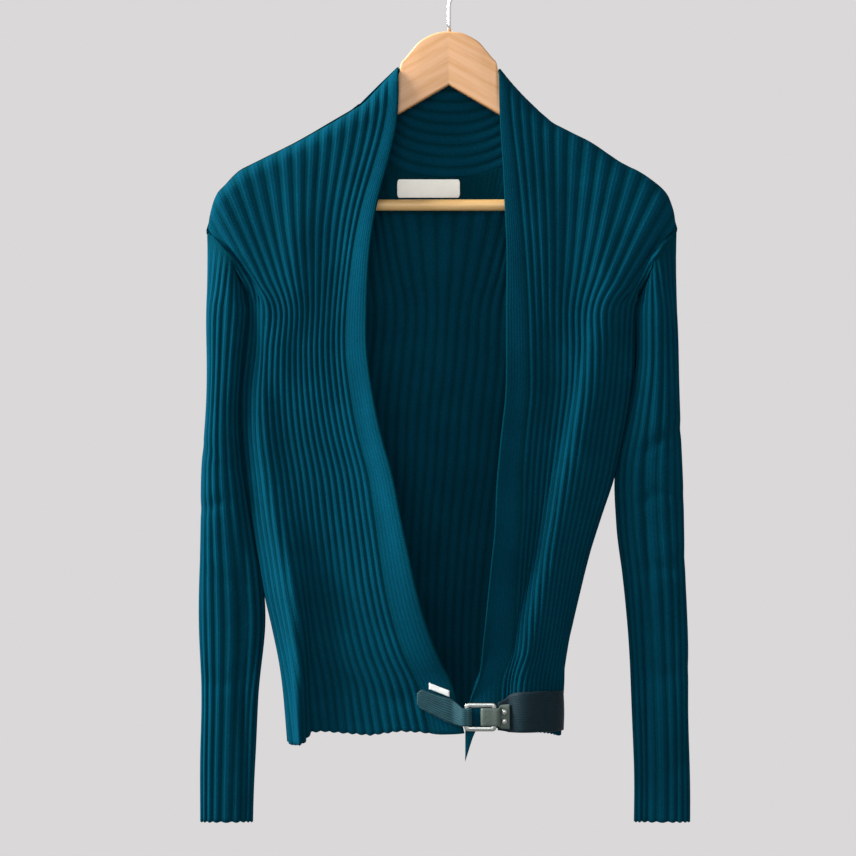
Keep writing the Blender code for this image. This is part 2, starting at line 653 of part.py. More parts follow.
def on_panel(grid, x, drop, lift, toward=-1):
    """A point over a panel's inner face, moved out along its level normal."""
    line = panel_line(grid, min(drop, 739.0))
    order = np.argsort(line[:, 0])
    keys = line[order]
    depth = np.interp(x, keys[:, 0], keys[:, 1])
    slope = (np.interp(x + 2, keys[:, 0], keys[:, 1]) - np.interp(x - 2, keys[:, 0], keys[:, 1])) / 4
    way = np.array([-slope, 1]) / math.hypot(slope, 1) * toward
    return np.array([x + lift * way[0], depth + lift * way[1], -drop])


def laid_strap(name, grid, table, color):
    """A strap that lies on a panel, made from the panel's points."""
    inner = []
    outer = []
    for x, upper, lower in table:
        drops = np.linspace(upper, lower, 4)
        inner.append([on_panel(grid, x, d, OVER) for d in drops])
        outer.append([on_panel(grid, x, d, OVER + STRAP_THICK) for d in drops])
    slab(name, np.array(inner), np.array(outer), color)


def loop(name, stations, bar_x, turn_x, front, behind, end_x, color):
    """A strap that passes over the ring's bar, turns round it and ends behind it.

    stations: x, depth of the inner face, upper and lower drop, from the laid end to the bar.
    """
    s = 1 if turn_x > bar_x else -1
    path = [(x, y) for x, y, upper, lower in stations]
    widths = [(upper, lower) for x, y, upper, lower in stations]
    path.append((turn_x - s * 1.2, front))
    middle = (front + behind) / 2
    path += [(turn_x - s * 0.3, front + 0.25 * (middle - front)), (turn_x, middle),
             (turn_x - s * 0.3, behind - 0.25 * (behind - middle)), (turn_x - s * 1.2, behind),
             (end_x, behind)]
    widths += [TAB] * 6
    path = np.array(path)
    run = unit(np.gradient(path, axis=0))
    out = np.stack([run[:, 1], -run[:, 0]], -1) * s
    inner = []
    outer = []
    for point, way, (upper, lower) in zip(path, out, widths):
        drops = np.linspace(upper, lower, 3)
        away = point + STRAP_THICK * way
        inner.append([(point[0], point[1], -d) for d in drops])
        outer.append([(away[0], away[1], -d) for d in drops])
    slab(name, np.array(inner), np.array(outer), color)


def frame_ring():
    """Flat rectangular ring with rounded corners."""
    cx, cd = RING_CENTRE
    stations = []
    for corner, (sx, sd) in enumerate(((1, -1), (-1, -1), (-1, 1), (1, 1))):
        for k in range(4):
            turn = math.radians(90 * corner + 30 * k)
            stations.append((sx, sd, math.cos(turn), math.sin(turn)))
    profile = ((1, 0.25), (1, 0.75), (0.8, 1), (0.2, 1), (0, 0.75), (0, 0.25), (0.2, 0), (0.8, 0))
    points = []
    for sx, sd, c, w in stations:
        for share, deep in profile:
            radius = 1.2 + share * 2.8
            half_x = RING_SIZE[0] / 2 - RING_BAR * (1 - share) - radius
            half_d = RING_SIZE[1] / 2 - RING_BAR * (1 - share) - radius
            x = cx + sx * half_x + radius * c
            drop = cd + sd * half_d - radius * w
            points.append((x, RING_FRONT + RING_THICK * deep, -drop))
    grid = np.array(points).reshape(len(stations), len(profile), 3)
    index = np.arange(grid.shape[0] * grid.shape[1]).reshape(grid.shape[:2])
    index = np.concatenate([index, index[:1]])
    make("buckle_ring", grid.reshape(-1, 3), sheet_faces(index, True), (0.6, 0.62, 0.62, 1), 0.25, 1.0)


def turned(name, axis_points, radii, sides, color, roughness, metallic=0.0):
    """A round body through a line of points, with a radius at each, its ends closed flat."""
    axis_points = np.asarray(axis_points, float)
    run = unit(np.gradient(axis_points, axis=0))
    guide = np.array([0.0, 1.0, 0.0])
    if abs(run[0, 1]) > 0.9:
        guide = np.array([1.0, 0.0, 0.0])
    first = unit(np.cross(run, guide))
    second = np.cross(run, first)
    turn = 2 * np.pi * np.arange(sides) / sides
    circle = np.cos(turn)[None, :, None] * first[:, None] + np.sin(turn)[None, :, None] * second[:, None]
    grid = axis_points[:, None] + circle * np.asarray(radii, float)[:, None, None]
    index = np.arange(grid.shape[0] * sides).reshape(-1, sides)
    points = np.concatenate([grid.reshape(-1, 3), axis_points[:1], axis_points[-1:]])
    start, end = index.size, index.size + 1
    caps = [(start, index[0, (k + 1) % sides], index[0, k]) for k in range(sides)]
    caps += [(end, index[-1, k], index[-1, (k + 1) % sides]) for k in range(sides)]
    faces = np.concatenate([sheet_faces(index, True), np.array(caps)])
    make(name, points, faces, color, roughness, metallic)


def rivet(name, drop):
    """A low dome on the tab."""
    base = -36.8
    stations = [(RIVET_X, base, -drop), (RIVET_X, base - 0.8, -drop), (RIVET_X, base - 1.4, -drop),
                (RIVET_X, base - 1.7, -drop)]
    radii = [RIVET_RADIUS, 0.93 * RIVET_RADIUS, 0.65 * RIVET_RADIUS, 0.25 * RIVET_RADIUS]
    turned(name, stations, radii, 12, (0.6, 0.62, 0.62, 1), 0.25, 1.0)


def label():
    """Blank woven label on the inside of the back, under the neck seam."""
    xs = np.linspace(-49.4, 10.5, 7)
    drops = np.linspace(220.0, 237.5, 3)
    inner = [[on_panel(back_points, x, d, 0.5) for d in drops] for x in xs]
    outer = [[on_panel(back_points, x, d, 1.2) for d in drops] for x in xs]
    slab("neck_label", np.array(inner), np.array(outer), (0.8, 0.79, 0.76, 1))


def tag_bar():
    """Small blank pale bar beside the upper edge of the narrow strap."""
    inner = []
    outer = []
    for share in np.linspace(0, 1, 4):
        x = -18.5 + 18.5 * share
        upper = 699.2 + 7.2 * share
        drops = (upper, upper + 2.6, upper + 5.2)
        inner.append([on_panel(right_grid, x, d, WALL + 0.5) for d in drops])
        outer.append([on_panel(right_grid, x, d, WALL + 1.9) for d in drops])
    slab("strap_tag", np.array(inner), np.array(outer), (0.7, 0.71, 0.7, 1), 0.0, 0.4)


# Hanger
def wood():
    """Flat wood: chamfered sections between its top and underside, from tip to tip."""
    half = np.array(WOOD, float)
    rows = np.concatenate([half[:0:-1] * (-1, 1, 1), half])
    lean = LEAN * np.sign(rows[:, 0]) * np.maximum(np.abs(rows[:, 0]) - 45, 0)
    sections = []
    for (x, top, low), fall in zip(rows, lean):
        c = min(WOOD_CHAMFER, 0.3 * (low - top))
        for y, z in ((-WOOD_HALF + c, top), (WOOD_HALF - c, top), (WOOD_HALF, top + c),
                     (WOOD_HALF, low - c), (WOOD_HALF - c, low), (-WOOD_HALF + c, low),
                     (-WOOD_HALF, low - c), (-WOOD_HALF, top + c)):
            sections.append((x, y, -(z + fall)))
    index = np.arange(len(sections)).reshape(-1, 8)
    caps = []
    for ring, flip in ((index[0], True), (index[-1], False)):
        for k in range(1, 7):
            face = (ring[0], ring[k], ring[k + 1])
            caps.append(face[::-1] if flip else face)
    faces = np.concatenate([sheet_faces(index, True), np.array(caps)])
    make("hanger_body", sections, faces, (0.78, 0.46, 0.2, 1), 0.5, 0.0, False)


def hook():
    """Wire from the wood up round the hook's bend."""
    centre = 20.0
    path = [(0, 0, -79.7), (0, 0, -68), (0, 0, -56)]
    start = np.array([0.0, -56.0])
    turn = math.radians(-40)
    end = np.array([HOOK_BEND * math.cos(turn), -centre + HOOK_BEND * math.sin(turn)])
    pull_start = start + (0, 11)
    pull_end = end - 11 * np.array([-math.sin(turn), math.cos(turn)])
    for t in (0.25, 0.5, 0.75):
        point = ((1 - t) ** 3 * start + 3 * (1 - t) ** 2 * t * pull_start
                 + 3 * (1 - t) * t * t * pull_end + t ** 3 * end)
        path.append((point[0], 0, point[1]))
    for degrees in range(-40, 196, 15):
        turn = math.radians(degrees)
        path.append((HOOK_BEND * math.cos(turn), 0, -centre + HOOK_BEND * math.sin(turn)))
    radii = [HOOK_WIRE] * (len(path) - 1) + [0.8 * HOOK_WIRE]
    turned("hanger_hook", path, radii, 10, (0.7, 0.7, 0.7, 1), 0.15, 1.0)


# Build
right_grid = front("right_front", "right", RIGHT_FRONT_RIBS)
left_grid = front("left_front", "left", LEFT_FRONT_RIBS)
back_points, back_normal = back_grid()
wall("back", back_points, back_normal, ribbed(len(back_points), BACK_RIBS, 0))
sleeve("right_sleeve", "right")
sleeve("left_sleeve", "left")
collar()
label()
laid_strap("strap_left", left_grid, STRAP_LEFT, DARK)
laid = [(x, on_panel(right_grid, x, (u + d) / 2, OVER)[1], u, d) for x, u, d in STRAP_RIGHT]
laid += [(9, -35.6, 719, 738.5), (13.2, -38.0, TAB[0], TAB[1]), (16.5, -38.0, TAB[0], TAB[1])]
loop("strap_right", laid, 16.6, 19.5, -38.0, -34.2, 14.8, DARK)
tab = [(57, -34.6, 719, 742), (48.4, -34.6, 720, 741), (45.9, -38.0, TAB[0], TAB[1]),
       (40, -38.0, TAB[0], TAB[1])]
loop("strap_tab", tab, 42.4, 31.5, -38.0, -34.2, 45.3, (0.04, 0.06, 0.05, 1))
frame_ring()
rivet("rivet_upper", RIVET_DROPS[0])
rivet("rivet_lower", RIVET_DROPS[1])
tag_bar()
wood()
turned("hanger_bar", [(-BAR_END, 0, -BAR_DROP), (BAR_END, 0, -BAR_DROP)], [BAR_RADIUS] * 2, 16,
       (0.85, 0.6, 0.3, 1), 0.5)
hook()
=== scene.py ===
"""Looks of the teal wrap cardigan on its wooden hanger.

Lengths in the tables are millimetres, and heights are drops below the hook, as in the part.
"""

import bmesh
import bpy
import numpy as np
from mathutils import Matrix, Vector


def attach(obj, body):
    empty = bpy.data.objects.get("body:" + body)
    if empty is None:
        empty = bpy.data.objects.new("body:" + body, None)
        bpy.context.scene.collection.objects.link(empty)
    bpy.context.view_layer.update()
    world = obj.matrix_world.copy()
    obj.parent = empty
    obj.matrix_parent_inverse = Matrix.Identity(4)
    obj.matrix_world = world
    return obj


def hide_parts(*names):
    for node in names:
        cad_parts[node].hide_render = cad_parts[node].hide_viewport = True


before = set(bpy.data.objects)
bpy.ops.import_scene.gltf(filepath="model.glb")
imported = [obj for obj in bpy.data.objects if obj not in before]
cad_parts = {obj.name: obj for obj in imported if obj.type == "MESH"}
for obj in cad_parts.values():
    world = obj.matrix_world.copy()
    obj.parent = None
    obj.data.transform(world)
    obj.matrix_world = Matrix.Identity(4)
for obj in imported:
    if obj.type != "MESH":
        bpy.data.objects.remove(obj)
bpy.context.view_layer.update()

# The room: a pale floor well under the garment, an even pale sky, one large soft light from the
# left and above, as from a window, and a weak bounce from the room in front. The camera looks
# level at the front, as the photo does.
MM = 0.001
PHOTO_SCALE = 0.95            # millimetres of the garment a pixel of the photo
PHOTO_SIZE = 856              # pixels of the photo across and down
HOOK_COLUMN = 449             # the photo's column where x is 0
WOOD_ROW = 30                 # the photo's row of the wood's top at the neck
WOOD_TOP = 80                 # the same as a drop below the hook
SENSOR = 36
CAMERA_DISTANCE = 3.0
CAMERA_AIM_DEPTH = -0.015
FLOOR_HEIGHT = -1.7
CHEST = (-0.02, 0, -0.45)     # where the lights aim, in metres


def linear(hex_colour):
    """sRGB hex to linear colour: each channel c gives c / 12.92 below 0.04045, else
    ((c + 0.055) / 1.055) to the power 2.4."""
    channels = np.array([int(hex_colour[i:i + 2], 16) for i in (1, 3, 5)]) / 255
    low = channels / 12.92
    high = ((channels + 0.055) / 1.055) ** 2.4
    return (*np.where(channels <= 0.04045, low, high).tolist(), 1.0)


def add(tree, kind, settings=None, **sockets):
    """Add one node, set its properties and its sockets. A socket gets a value or another output.
    A socket's name is written with _ for a blank, and a number of a socket as _0, _1, _2."""
    node = tree.nodes.new(kind)
    for name, value in (settings or {}).items():
        setattr(node, name, value)
    for name, value in sockets.items():
        socket = node.inputs[int(name[1:]) if name[0] == "_" else name.replace("_", " ")]
        if isinstance(value, bpy.types.NodeSocket):
            tree.links.new(value, socket)
        else:
            socket.default_value = value
    return node


def finish_of(name, base, **sockets):
    """New material with one Principled shader, whose even values are set on its own sockets."""
    material = bpy.data.materials.new(name)
    material.use_nodes = True
    shader = material.node_tree.nodes["Principled BSDF"]
    shader.inputs["Base Color"].default_value = linear(base)
    for socket, value in sockets.items():
        shader.inputs[socket.replace("_", " ")].default_value = value
    return material, material.node_tree, shader


def maths(tree, operation, *values):
    """Output of one Math node. Its inputs get values or other outputs, in turn."""
    inputs = {f"_{i}": value for i, value in enumerate(values)}
    return add(tree, "ShaderNodeMath", {"operation": operation}, **inputs).outputs[0]


def place_of(tree):
    """Output with each point's own place on its object, in metres."""
    return add(tree, "ShaderNodeTexCoord").outputs["Object"]


def noise(tree, place, scale, detail, **sockets):
    """Output of a noise texture, from 0 to 1."""
    node = add(tree, "ShaderNodeTexNoise", Vector=place, Scale=scale, Detail=detail, **sockets)
    return node.outputs["Fac"]


def waves(tree, place, direction, scale, distortion, detail):
    """Output of a wave texture that changes along one direction, from 0 to 1."""
    node = add(tree, "ShaderNodeTexWave", {"bands_direction": direction}, Vector=place, Scale=scale,
               Distortion=distortion, Detail=detail)
    return node.outputs["Fac"]


def spread(tree, value, low, high, to_low, to_high):
    """Output that goes evenly from to_low to to_high as the value goes from low to high."""
    return add(tree, "ShaderNodeMapRange", _0=value, _1=low, _2=high, _3=to_low, _4=to_high).outputs[0]


def bumped(tree, shader, height, strength, distance):
    """Bump the shader's surface by a height. The distance is in metres."""
    bump = add(tree, "ShaderNodeBump", Height=height, Strength=strength, Distance=distance)
    tree.links.new(bump.outputs["Normal"], shader.inputs["Normal"])


def toned(tree, value, dark, light, ends=(0.0, 1.0)):
    """Output colour of a ramp from dark to light between two values."""
    ramp = add(tree, "ShaderNodeValToRGB", Fac=value)
    for i, colour in enumerate((dark, light)):
        ramp.color_ramp.elements[i].color = linear(colour)
        ramp.color_ramp.elements[i].position = ends[i]
    return ramp.outputs["Color"]


def coloured(tree, shader, colour):
    """Link a colour to the shader's base colour."""
    tree.links.new(colour, shader.inputs["Base Color"])


def aim(thing, place, target):
    """Turn a light or the camera from its place toward a target."""
    thing.location = place
    away = Vector(target) - Vector(place)
    thing.rotation_euler = away.to_track_quat("-Z", "Y").to_euler()
    bpy.context.scene.collection.objects.link(thing)


def soft_light(name, width, height, energy, colour, place):
    """Large rectangular light, sizes in metres, aimed at the garment's chest."""
    light = bpy.data.lights.new(name, "AREA")
    light.shape = "RECTANGLE"
    light.size = width
    light.size_y = height
    light.energy = energy
    light.color = colour
    aim(bpy.data.objects.new(name, light), place, CHEST)


lens = bpy.data.cameras.new("front_camera")
lens.sensor_width = SENSOR
lens.lens = SENSOR * CAMERA_DISTANCE / (PHOTO_SIZE * PHOTO_SCALE * MM)
camera = bpy.data.objects.new("front_camera", lens)
middle = ((PHOTO_SIZE / 2 - HOOK_COLUMN) * PHOTO_SCALE * MM, CAMERA_AIM_DEPTH,
          -(WOOD_TOP + (PHOTO_SIZE / 2 - WOOD_ROW) * PHOTO_SCALE) * MM)
aim(camera, (middle[0], middle[1] - CAMERA_DISTANCE, middle[2]), middle)
bpy.context.scene.camera = camera

soft_light("window_light", 1.9, 2.2, 980, (1.0, 0.985, 0.965), (-3.6, -0.4, 1.6))
soft_light("room_bounce", 2.2, 1.8, 44, (1.0, 1.0, 1.0), (-0.5, -3.4, 0.1))

sky = bpy.data.worlds.new("pale_room")
sky.use_nodes = True
sky.node_tree.nodes["Background"].inputs["Color"].default_value = linear("#DAD8D9")
sky.node_tree.nodes["Background"].inputs["Strength"].default_value = 1.0
bpy.context.scene.world = sky
bpy.context.scene.view_settings.view_transform = "Standard"

floor_mesh = bpy.data.meshes.new("floor")
floor_mesh.from_pydata([(-2, -2, FLOOR_HEIGHT), (2, -2, FLOOR_HEIGHT), (2, 2, FLOOR_HEIGHT),
                        (-2, 2, FLOOR_HEIGHT)], [], [(0, 1, 2, 3)])
floor = bpy.data.objects.new("floor", floor_mesh)
floor_mesh.materials.append(finish_of("pale_floor_paint", "#6E6D6B", Roughness=0.9)[0])
bpy.context.scene.collection.objects.link(floor)

# The two fronts. Each is one panel of chunky rib knit in a cotton blend, knitted as one flat
# piece with a plain turned band along the opening, sewn at the shoulder, armhole and side. The
# ribs run down the body, and the band stands toward the viewer where the strap pulls it shut.
WALL = 1.6                    # knit between the ribs
RIB = 1.2                     # extra height of a rib's crest
SEAM = 0.3
RIDGE_INSET = 2.6
SIDE_INSET = 2.6
SIDE_TURN = ((9, 0.62), (1.5, 0.3))  # distance from a side seam, share of the depth there
UPPER_END = 345.0             # drop under the armholes where the level rows begin
HEM_LEVEL = 745               # drop of the last level row, which is stretched to the hem
UPPER_STEPS = 8
RIGHT_FRONT_RIBS = 20
LEFT_FRONT_RIBS = 18
BACK_RIBS = 38
SLEEVE_RIBS = 18
COLLAR_RIBS = 9
FRONT_ARMHOLE_RIBS = 4
BACK_ARMHOLE_RIBS = 3
BACK_NECK_RIBS = 12
NECK_HALF = 84.5              # half the width of the neck seam
NECK_RUN = 225                # roughly the length of the neck seam
NECK_GAP = SEAM + 0.15        # how far the back starts below the collar
NECK_PADDING = 11.0           # depth of the back at the neck seam, behind the wood
COLUMN_GAP = 1.4              # least distance between columns beside an armhole
FRONT_PADDING = -9.2          # how far a front lies over the hanger's arm, toward the viewer
BACK_PADDING = 10.2           # the same for the back, away from the viewer
SHOULDER_ROUND = 3.3          # drop over which the shoulder rounds onto that padding
BAND_STEPS = 4
RIDGE_BAND = 14.0             # width of the plain band where it meets the neck
RIDGE_SPREAD = 1.06           # above 1 the ribs lie closer together toward the neck
FRONT_DROPS = (345, 383, 422, 462, 502, 540, 575, 608, 640, 672, 702)
# How far the middle of a rim stands past its edge: top, last column, bottom, first column
FRONT_RIMS = (1.1, 0.3, 0.8, 0.5)
BACK_RIMS = (1.8, 0.3, 0.8, 0.3)
SLEEVE_RIMS = (2.2, 0, 0.8, 0)
COLLAR_RIMS = (1.0, 2.2, 1.0, 0.5)

# Outline of the shoulders from the neck outward: x, drop
RIDGE = {
    "right": ((-49.8, 112.5), (-65.5, 127.5), (-84.5, 146.5), (-115, 165.5), (-148, 184.5),
              (-186, 203.5), (-203.5, 213), (-212, 222.5), (-221.5, 232), (-226.5, 243),
              (-230, 258), (-232, 273)),
    "left": ((49.4, 114.5), (60, 127.5), (78, 146.5), (100, 165.5), (137, 184.5),
             (165, 203.5), (184, 213), (197.5, 222.5), (208, 232), (213, 241.5),
             (216.5, 254), (218.5, 271)),
}
# Armhole seam from the shoulder's tip to the underarm: x, drop
ARMHOLE = {
    "right": ((-229.4, 273), (-220.5, 280), (-211.5, 290.5), (-203, 305), (-196, 320), (-191.2, 329)),
    "left": ((215.9, 271), (207.5, 278.5), (199.5, 289.5), (193, 303), (187, 318), (181, 331)),
}
ARMHOLE_DEPTH = 15.0
# Outline of the body's sides: drop, x
SIDE = {
    "right": ((345, -194), (400, -198), (430, -200.5), (460, -199.5), (490, -196), (520, -191.5),
              (545, -188), (575, -182.5), (602, -178), (621, -174), (674, -162.5), (708, -157.7),
              (752, -154), (790, -154)),
    "left": ((345, 182.5), (375, 181), (417, 176.5), (450, 170), (485, 162.5), (522, 153),
             (550, 142.5), (575, 135), (598, 129), (621, 122.5), (645, 117), (669, 111.5),
             (693, 109.5), (716, 111), (752, 107.4), (790, 107.4)),
}
# Opening edges: drop, x
OPENING = {
    "right": ((112, -46.9), (154, -47.6), (184.5, -52), (221.5, -61.8), (245, -67.7), (276, -73.8),
              (336.5, -77.2), (362, -79.3), (384, -78.1), (428, -71.7), (468, -62.7), (500, -53.6),
              (551, -43.7), (598, -33.5), (621, -28.1), (669, -11.7), (689, -2.9), (706, 5.7),
              (717, 12.9), (747, 14), (790, 14)),
    "left": ((117, 47.6), (159, 48.5), (218, 51.9), (247, 53.2), (290, 54.8), (336.5, 54.2),
             (400, 54.2), (438, 52.3), (482, 46), (536, 43.2), (591, 36.9), (621, 34.2),
             (669, 28.5), (684, 25.7), (692, 22), (702, 16.6), (745, 16.4), (778, 15)),
}
# Width of the plain band along the opening: drop, width
BAND = ((112, 19), (300, 20), (480, 25), (700, 33), (790, 33))
# Hem: x, drop
HEM = {
    "right": ((-156, 752), (-147, 759), (-138, 755), (-131, 746), (-119, 745), (-75, 748),
              (-47, 744), (-25, 745), (-15, 747), (14, 746.5)),
    "left": ((15, 778), (24, 745), (30, 741), (65, 741), (80, 744), (95, 746.5), (108, 751)),
    "back": ((-156, 752), (-130, 747), (-60, 743), (40, 742), (90, 746), (108, 751)),
}
# Folds of a front: drop, depth at the edge, x and depth of the flat, the valley and the crest
FOLDS = {
    "right": ((345, -27, -112, -18, -148, -17, -174, -18),
              (400, -31, -110, -20, -146, -18, -176, -19),
              (460, -36, -104, -22, -142, -19, -176, -21),
              (520, -41, -92, -24, -136, -20, -168, -25),
              (575, -42, -82, -26, -131, -20, -156, -30),
              (620, -41, -72, -28, -129, -19, -147, -33),
              (670, -36, -60, -29, -129, -18, -143, -35),
              (705, -30, -48, -29, -130, -18, -142, -36),
              (790, -30, -42, -29, -131, -18, -141, -36)),
    "left": ((345, -22, 88, -18, 128, -16, 148, -19),
             (400, -27, 86, -20, 119, -17, 134, -23),
             (460, -32, 82, -22, 106, -19, 121, -27),
             (520, -37, 76, -25, 91, -21, 106, -31),
             (575, -39, 68, -27, 81, -23, 96, -34),
             (620, -38, 58, -28, 70, -25, 84, -36),
             (670, -34, 46, -29, 60, -27, 74, -36),
             (705, -29, 42, -29, 56, -28, 69, -34),
             (790, -29, 42, -29, 56, -28, 69, -34)),
}


def smooth(table, at, column=1):
    """Cubic through the rows of a table, read at the values `at` of its first column. Between two
    rows it is the Hermite cubic whose slopes are the harmonic mean of the neighbouring steps."""
    rows = np.asarray(table, float)
    key = rows[:, 0]
    value = rows[:, column]
    step = np.diff(value) / np.diff(key)
    slope = np.empty(len(key))
    slope[0] = step[0]
    slope[-1] = step[-1]
    level = step[:-1] * step[1:] <= 0
    mean = 2 * step[:-1] * step[1:] / np.where(level, 1, step[:-1] + step[1:])
    slope[1:-1] = np.where(level, 0, mean)
    at = np.clip(np.asarray(at, float), key[0], key[-1])
    cell = np.clip(np.searchsorted(key, at) - 1, 0, len(key) - 2)
    width = key[cell + 1] - key[cell]
    t = (at - key[cell]) / width
    return (value[cell] * (1 + 2 * t) * (1 - t) ** 2 + value[cell + 1] * t * t * (3 - 2 * t)
            + width * (slope[cell] * t * (1 - t) ** 2 - slope[cell + 1] * t * t * (1 - t)))


def lengths(points):
    """Distance along a line of points from its first one: the running sum of its steps."""
    steps = np.linalg.norm(np.diff(points, axis=0), axis=1)
    return np.concatenate([[0], np.cumsum(steps)])


def between_rows(at, keys, rows):
    """Rows read between their keys, in straight steps."""
    return np.stack([np.interp(at, keys, rows[:, i]) for i in range(rows.shape[1])], -1)


def along(points, distance):
    """Points at the given distances along a line of points, in straight steps."""
    points = np.asarray(points, float)
    return between_rows(distance, lengths(points), points)


def full_circle(count):
    """Angles of a whole turn in equal steps."""
    return 2 * np.pi * np.arange(count) / count


def squarer(wave, power):
    """A sine or cosine to a power below 1 with its sign kept, which makes a circle squarer."""
    return np.sign(wave) * np.abs(wave) ** power


def spline(points, count=160):
    """Smooth line through a few points, keyed by their distance along the line."""
    points = np.asarray(points, float)
    table = np.column_stack([lengths(points), points])
    at = np.linspace(0, table[-1, 0], count)
    return np.stack([smooth(table, at, i + 1) for i in range(points.shape[1])], -1)


def unit(vectors):
    """Vectors divided by their own length."""
    return vectors / np.maximum(np.linalg.norm(vectors, axis=-1), 1e-9)[..., None]


def sign(side):
    """-1 for the wearer's right side, which is on the viewer's left, and +1 for the left."""
    return -1.0 if side == "right" else 1.0


def facing(base, wrap, outward):
    """Normals of a grid: the cross product of its steps across and down, times `outward`."""
    if wrap:
        across = np.roll(base, -1, axis=1) - np.roll(base, 1, axis=1)
    else:
        across = np.gradient(base, axis=1)
    return unit(np.cross(across, np.gradient(base, axis=0))) * outward


def ridge(side):
    """Inner face of the shoulder fold: the outline moved in at right angles to its own run."""
    line = np.asarray(RIDGE[side], float)
    run = unit(np.gradient(line, axis=0))
    s = sign(side)
    moved = line + RIDGE_INSET * np.stack([-s * run[:, 1], s * run[:, 0]], -1)
    moved[-1] = ARMHOLE[side][0]
    return moved


def armhole_corners(side, back):
    """Points of half an armhole, and the ways that the body's and the sleeve's walls stand there.
    Depth follows the sine of the share of the way round, to the power 0.8."""
    ribs = BACK_ARMHOLE_RIBS if back else FRONT_ARMHOLE_RIBS
    share = np.linspace(0, 1, 2 * ribs + 1)
    line = spline(ARMHOLE[side])
    flat = along(line, share * lengths(line)[-1])
    depth = np.maximum(ARMHOLE_DEPTH * np.sin(np.pi * share) ** 0.8, SEAM / 2)
    way = 1 if back else -1
    level = np.cos(np.pi * share)
    sleeve_way = np.column_stack([sign(side) * level, way * np.sin(np.pi * share), 0 * share])
    body_way = sleeve_way.copy()
    body_way[:, 0] = sign(side) * np.abs(level)
    return share, np.column_stack([flat, way * depth]), body_way, sleeve_way


def inside_armhole(side, x, drop, low):
    """Keep the columns of a half panel on the body's side of its armhole seam: none passes the
    seam's x at its own drop, less COLUMN_GAP for each column between them."""
    s = sign(side)
    columns = np.arange(len(x))
    at = np.interp(drop, low[:, 1], len(x) - len(low) + np.arange(len(low)))
    seam_x = np.interp(drop, low[:, 1], low[:, 0])
    fade = np.clip((UPPER_END - drop) / (UPPER_END - low[-1, 1]), 0, 1)
    held = np.minimum(s * x, s * seam_x - COLUMN_GAP * np.maximum(at - columns, 0) * fade)
    return np.where((drop > low[0, 1]) & (columns < at), s * held, x)


def ease_seam(normal, sewn):
    """Turn the wall's direction slowly away from the armhole over the first rows."""
    for row, share in ((1, 0.9), (2, 0.6)):
        normal[row, sewn] = unit(share * normal[0, sewn] + (1 - share) * normal[row, sewn])


def to_world(grid):
    """From x, drop, depth to x, depth, height."""
    return np.stack([grid[..., 0], grid[..., 2], -grid[..., 1]], -1)


def upper_row(top, level, lift, x, drop, t):
    """One row between the seams at the top (x, drop, depth) and the level row (x, depth), a share
    t of the way down. The depth goes evenly, and rounds onto the lift in the first few drops."""
    over = 1 - np.exp(-(drop - top[:, 1]) / SHOULDER_ROUND)
    return np.column_stack([x, drop, top[:, 2] + over * lift + t * (level[:, 1] - top[:, 2] - lift)])


def lower_rows(section, drops, hem):
    """Level sections as rows of x, drop and depth, stretched so that the last lies on the hem."""
    hem_drop = np.interp(section(HEM_LEVEL)[:, 0], *np.array(hem, float).T)
    rows = []
    for drop in drops + (HEM_LEVEL,):
        columns = section(drop)
        share = (drop - UPPER_END) / (HEM_LEVEL - UPPER_END)
        rows.append(np.column_stack([columns[:, 0], UPPER_END + share * (hem_drop - UPPER_END),
                                     columns[:, 1]]))
    return rows


def front_section(side, drop, ribs):
    """Columns of a front at one drop, from its opening to its side seam: equal steps of length
    along a smooth line through the edge, flat, valley, crest and seam."""
    s = sign(side)
    depth_edge, flat_x, flat_y, valley_x, valley_y, crest_x, crest_y = (
        float(smooth(FOLDS[side], drop, i)) for i in range(1, 8))
    edge = float(smooth(OPENING[side], drop))
    seam = float(smooth(SIDE[side], drop)) - s * SIDE_INSET
    turn = [(seam - s * step, share * crest_y) for step, share in SIDE_TURN]
    line = spline([(edge, depth_edge), (flat_x, flat_y), (valley_x, valley_y), (crest_x, crest_y)]
                  + turn + [(seam, -SEAM / 2)])
    band = float(smooth(BAND, drop))
    rest = np.linspace(band, lengths(line)[-1], 2 * ribs + 1)
    return along(line, np.concatenate([band * np.arange(BAND_STEPS) / BAND_STEPS, rest]))


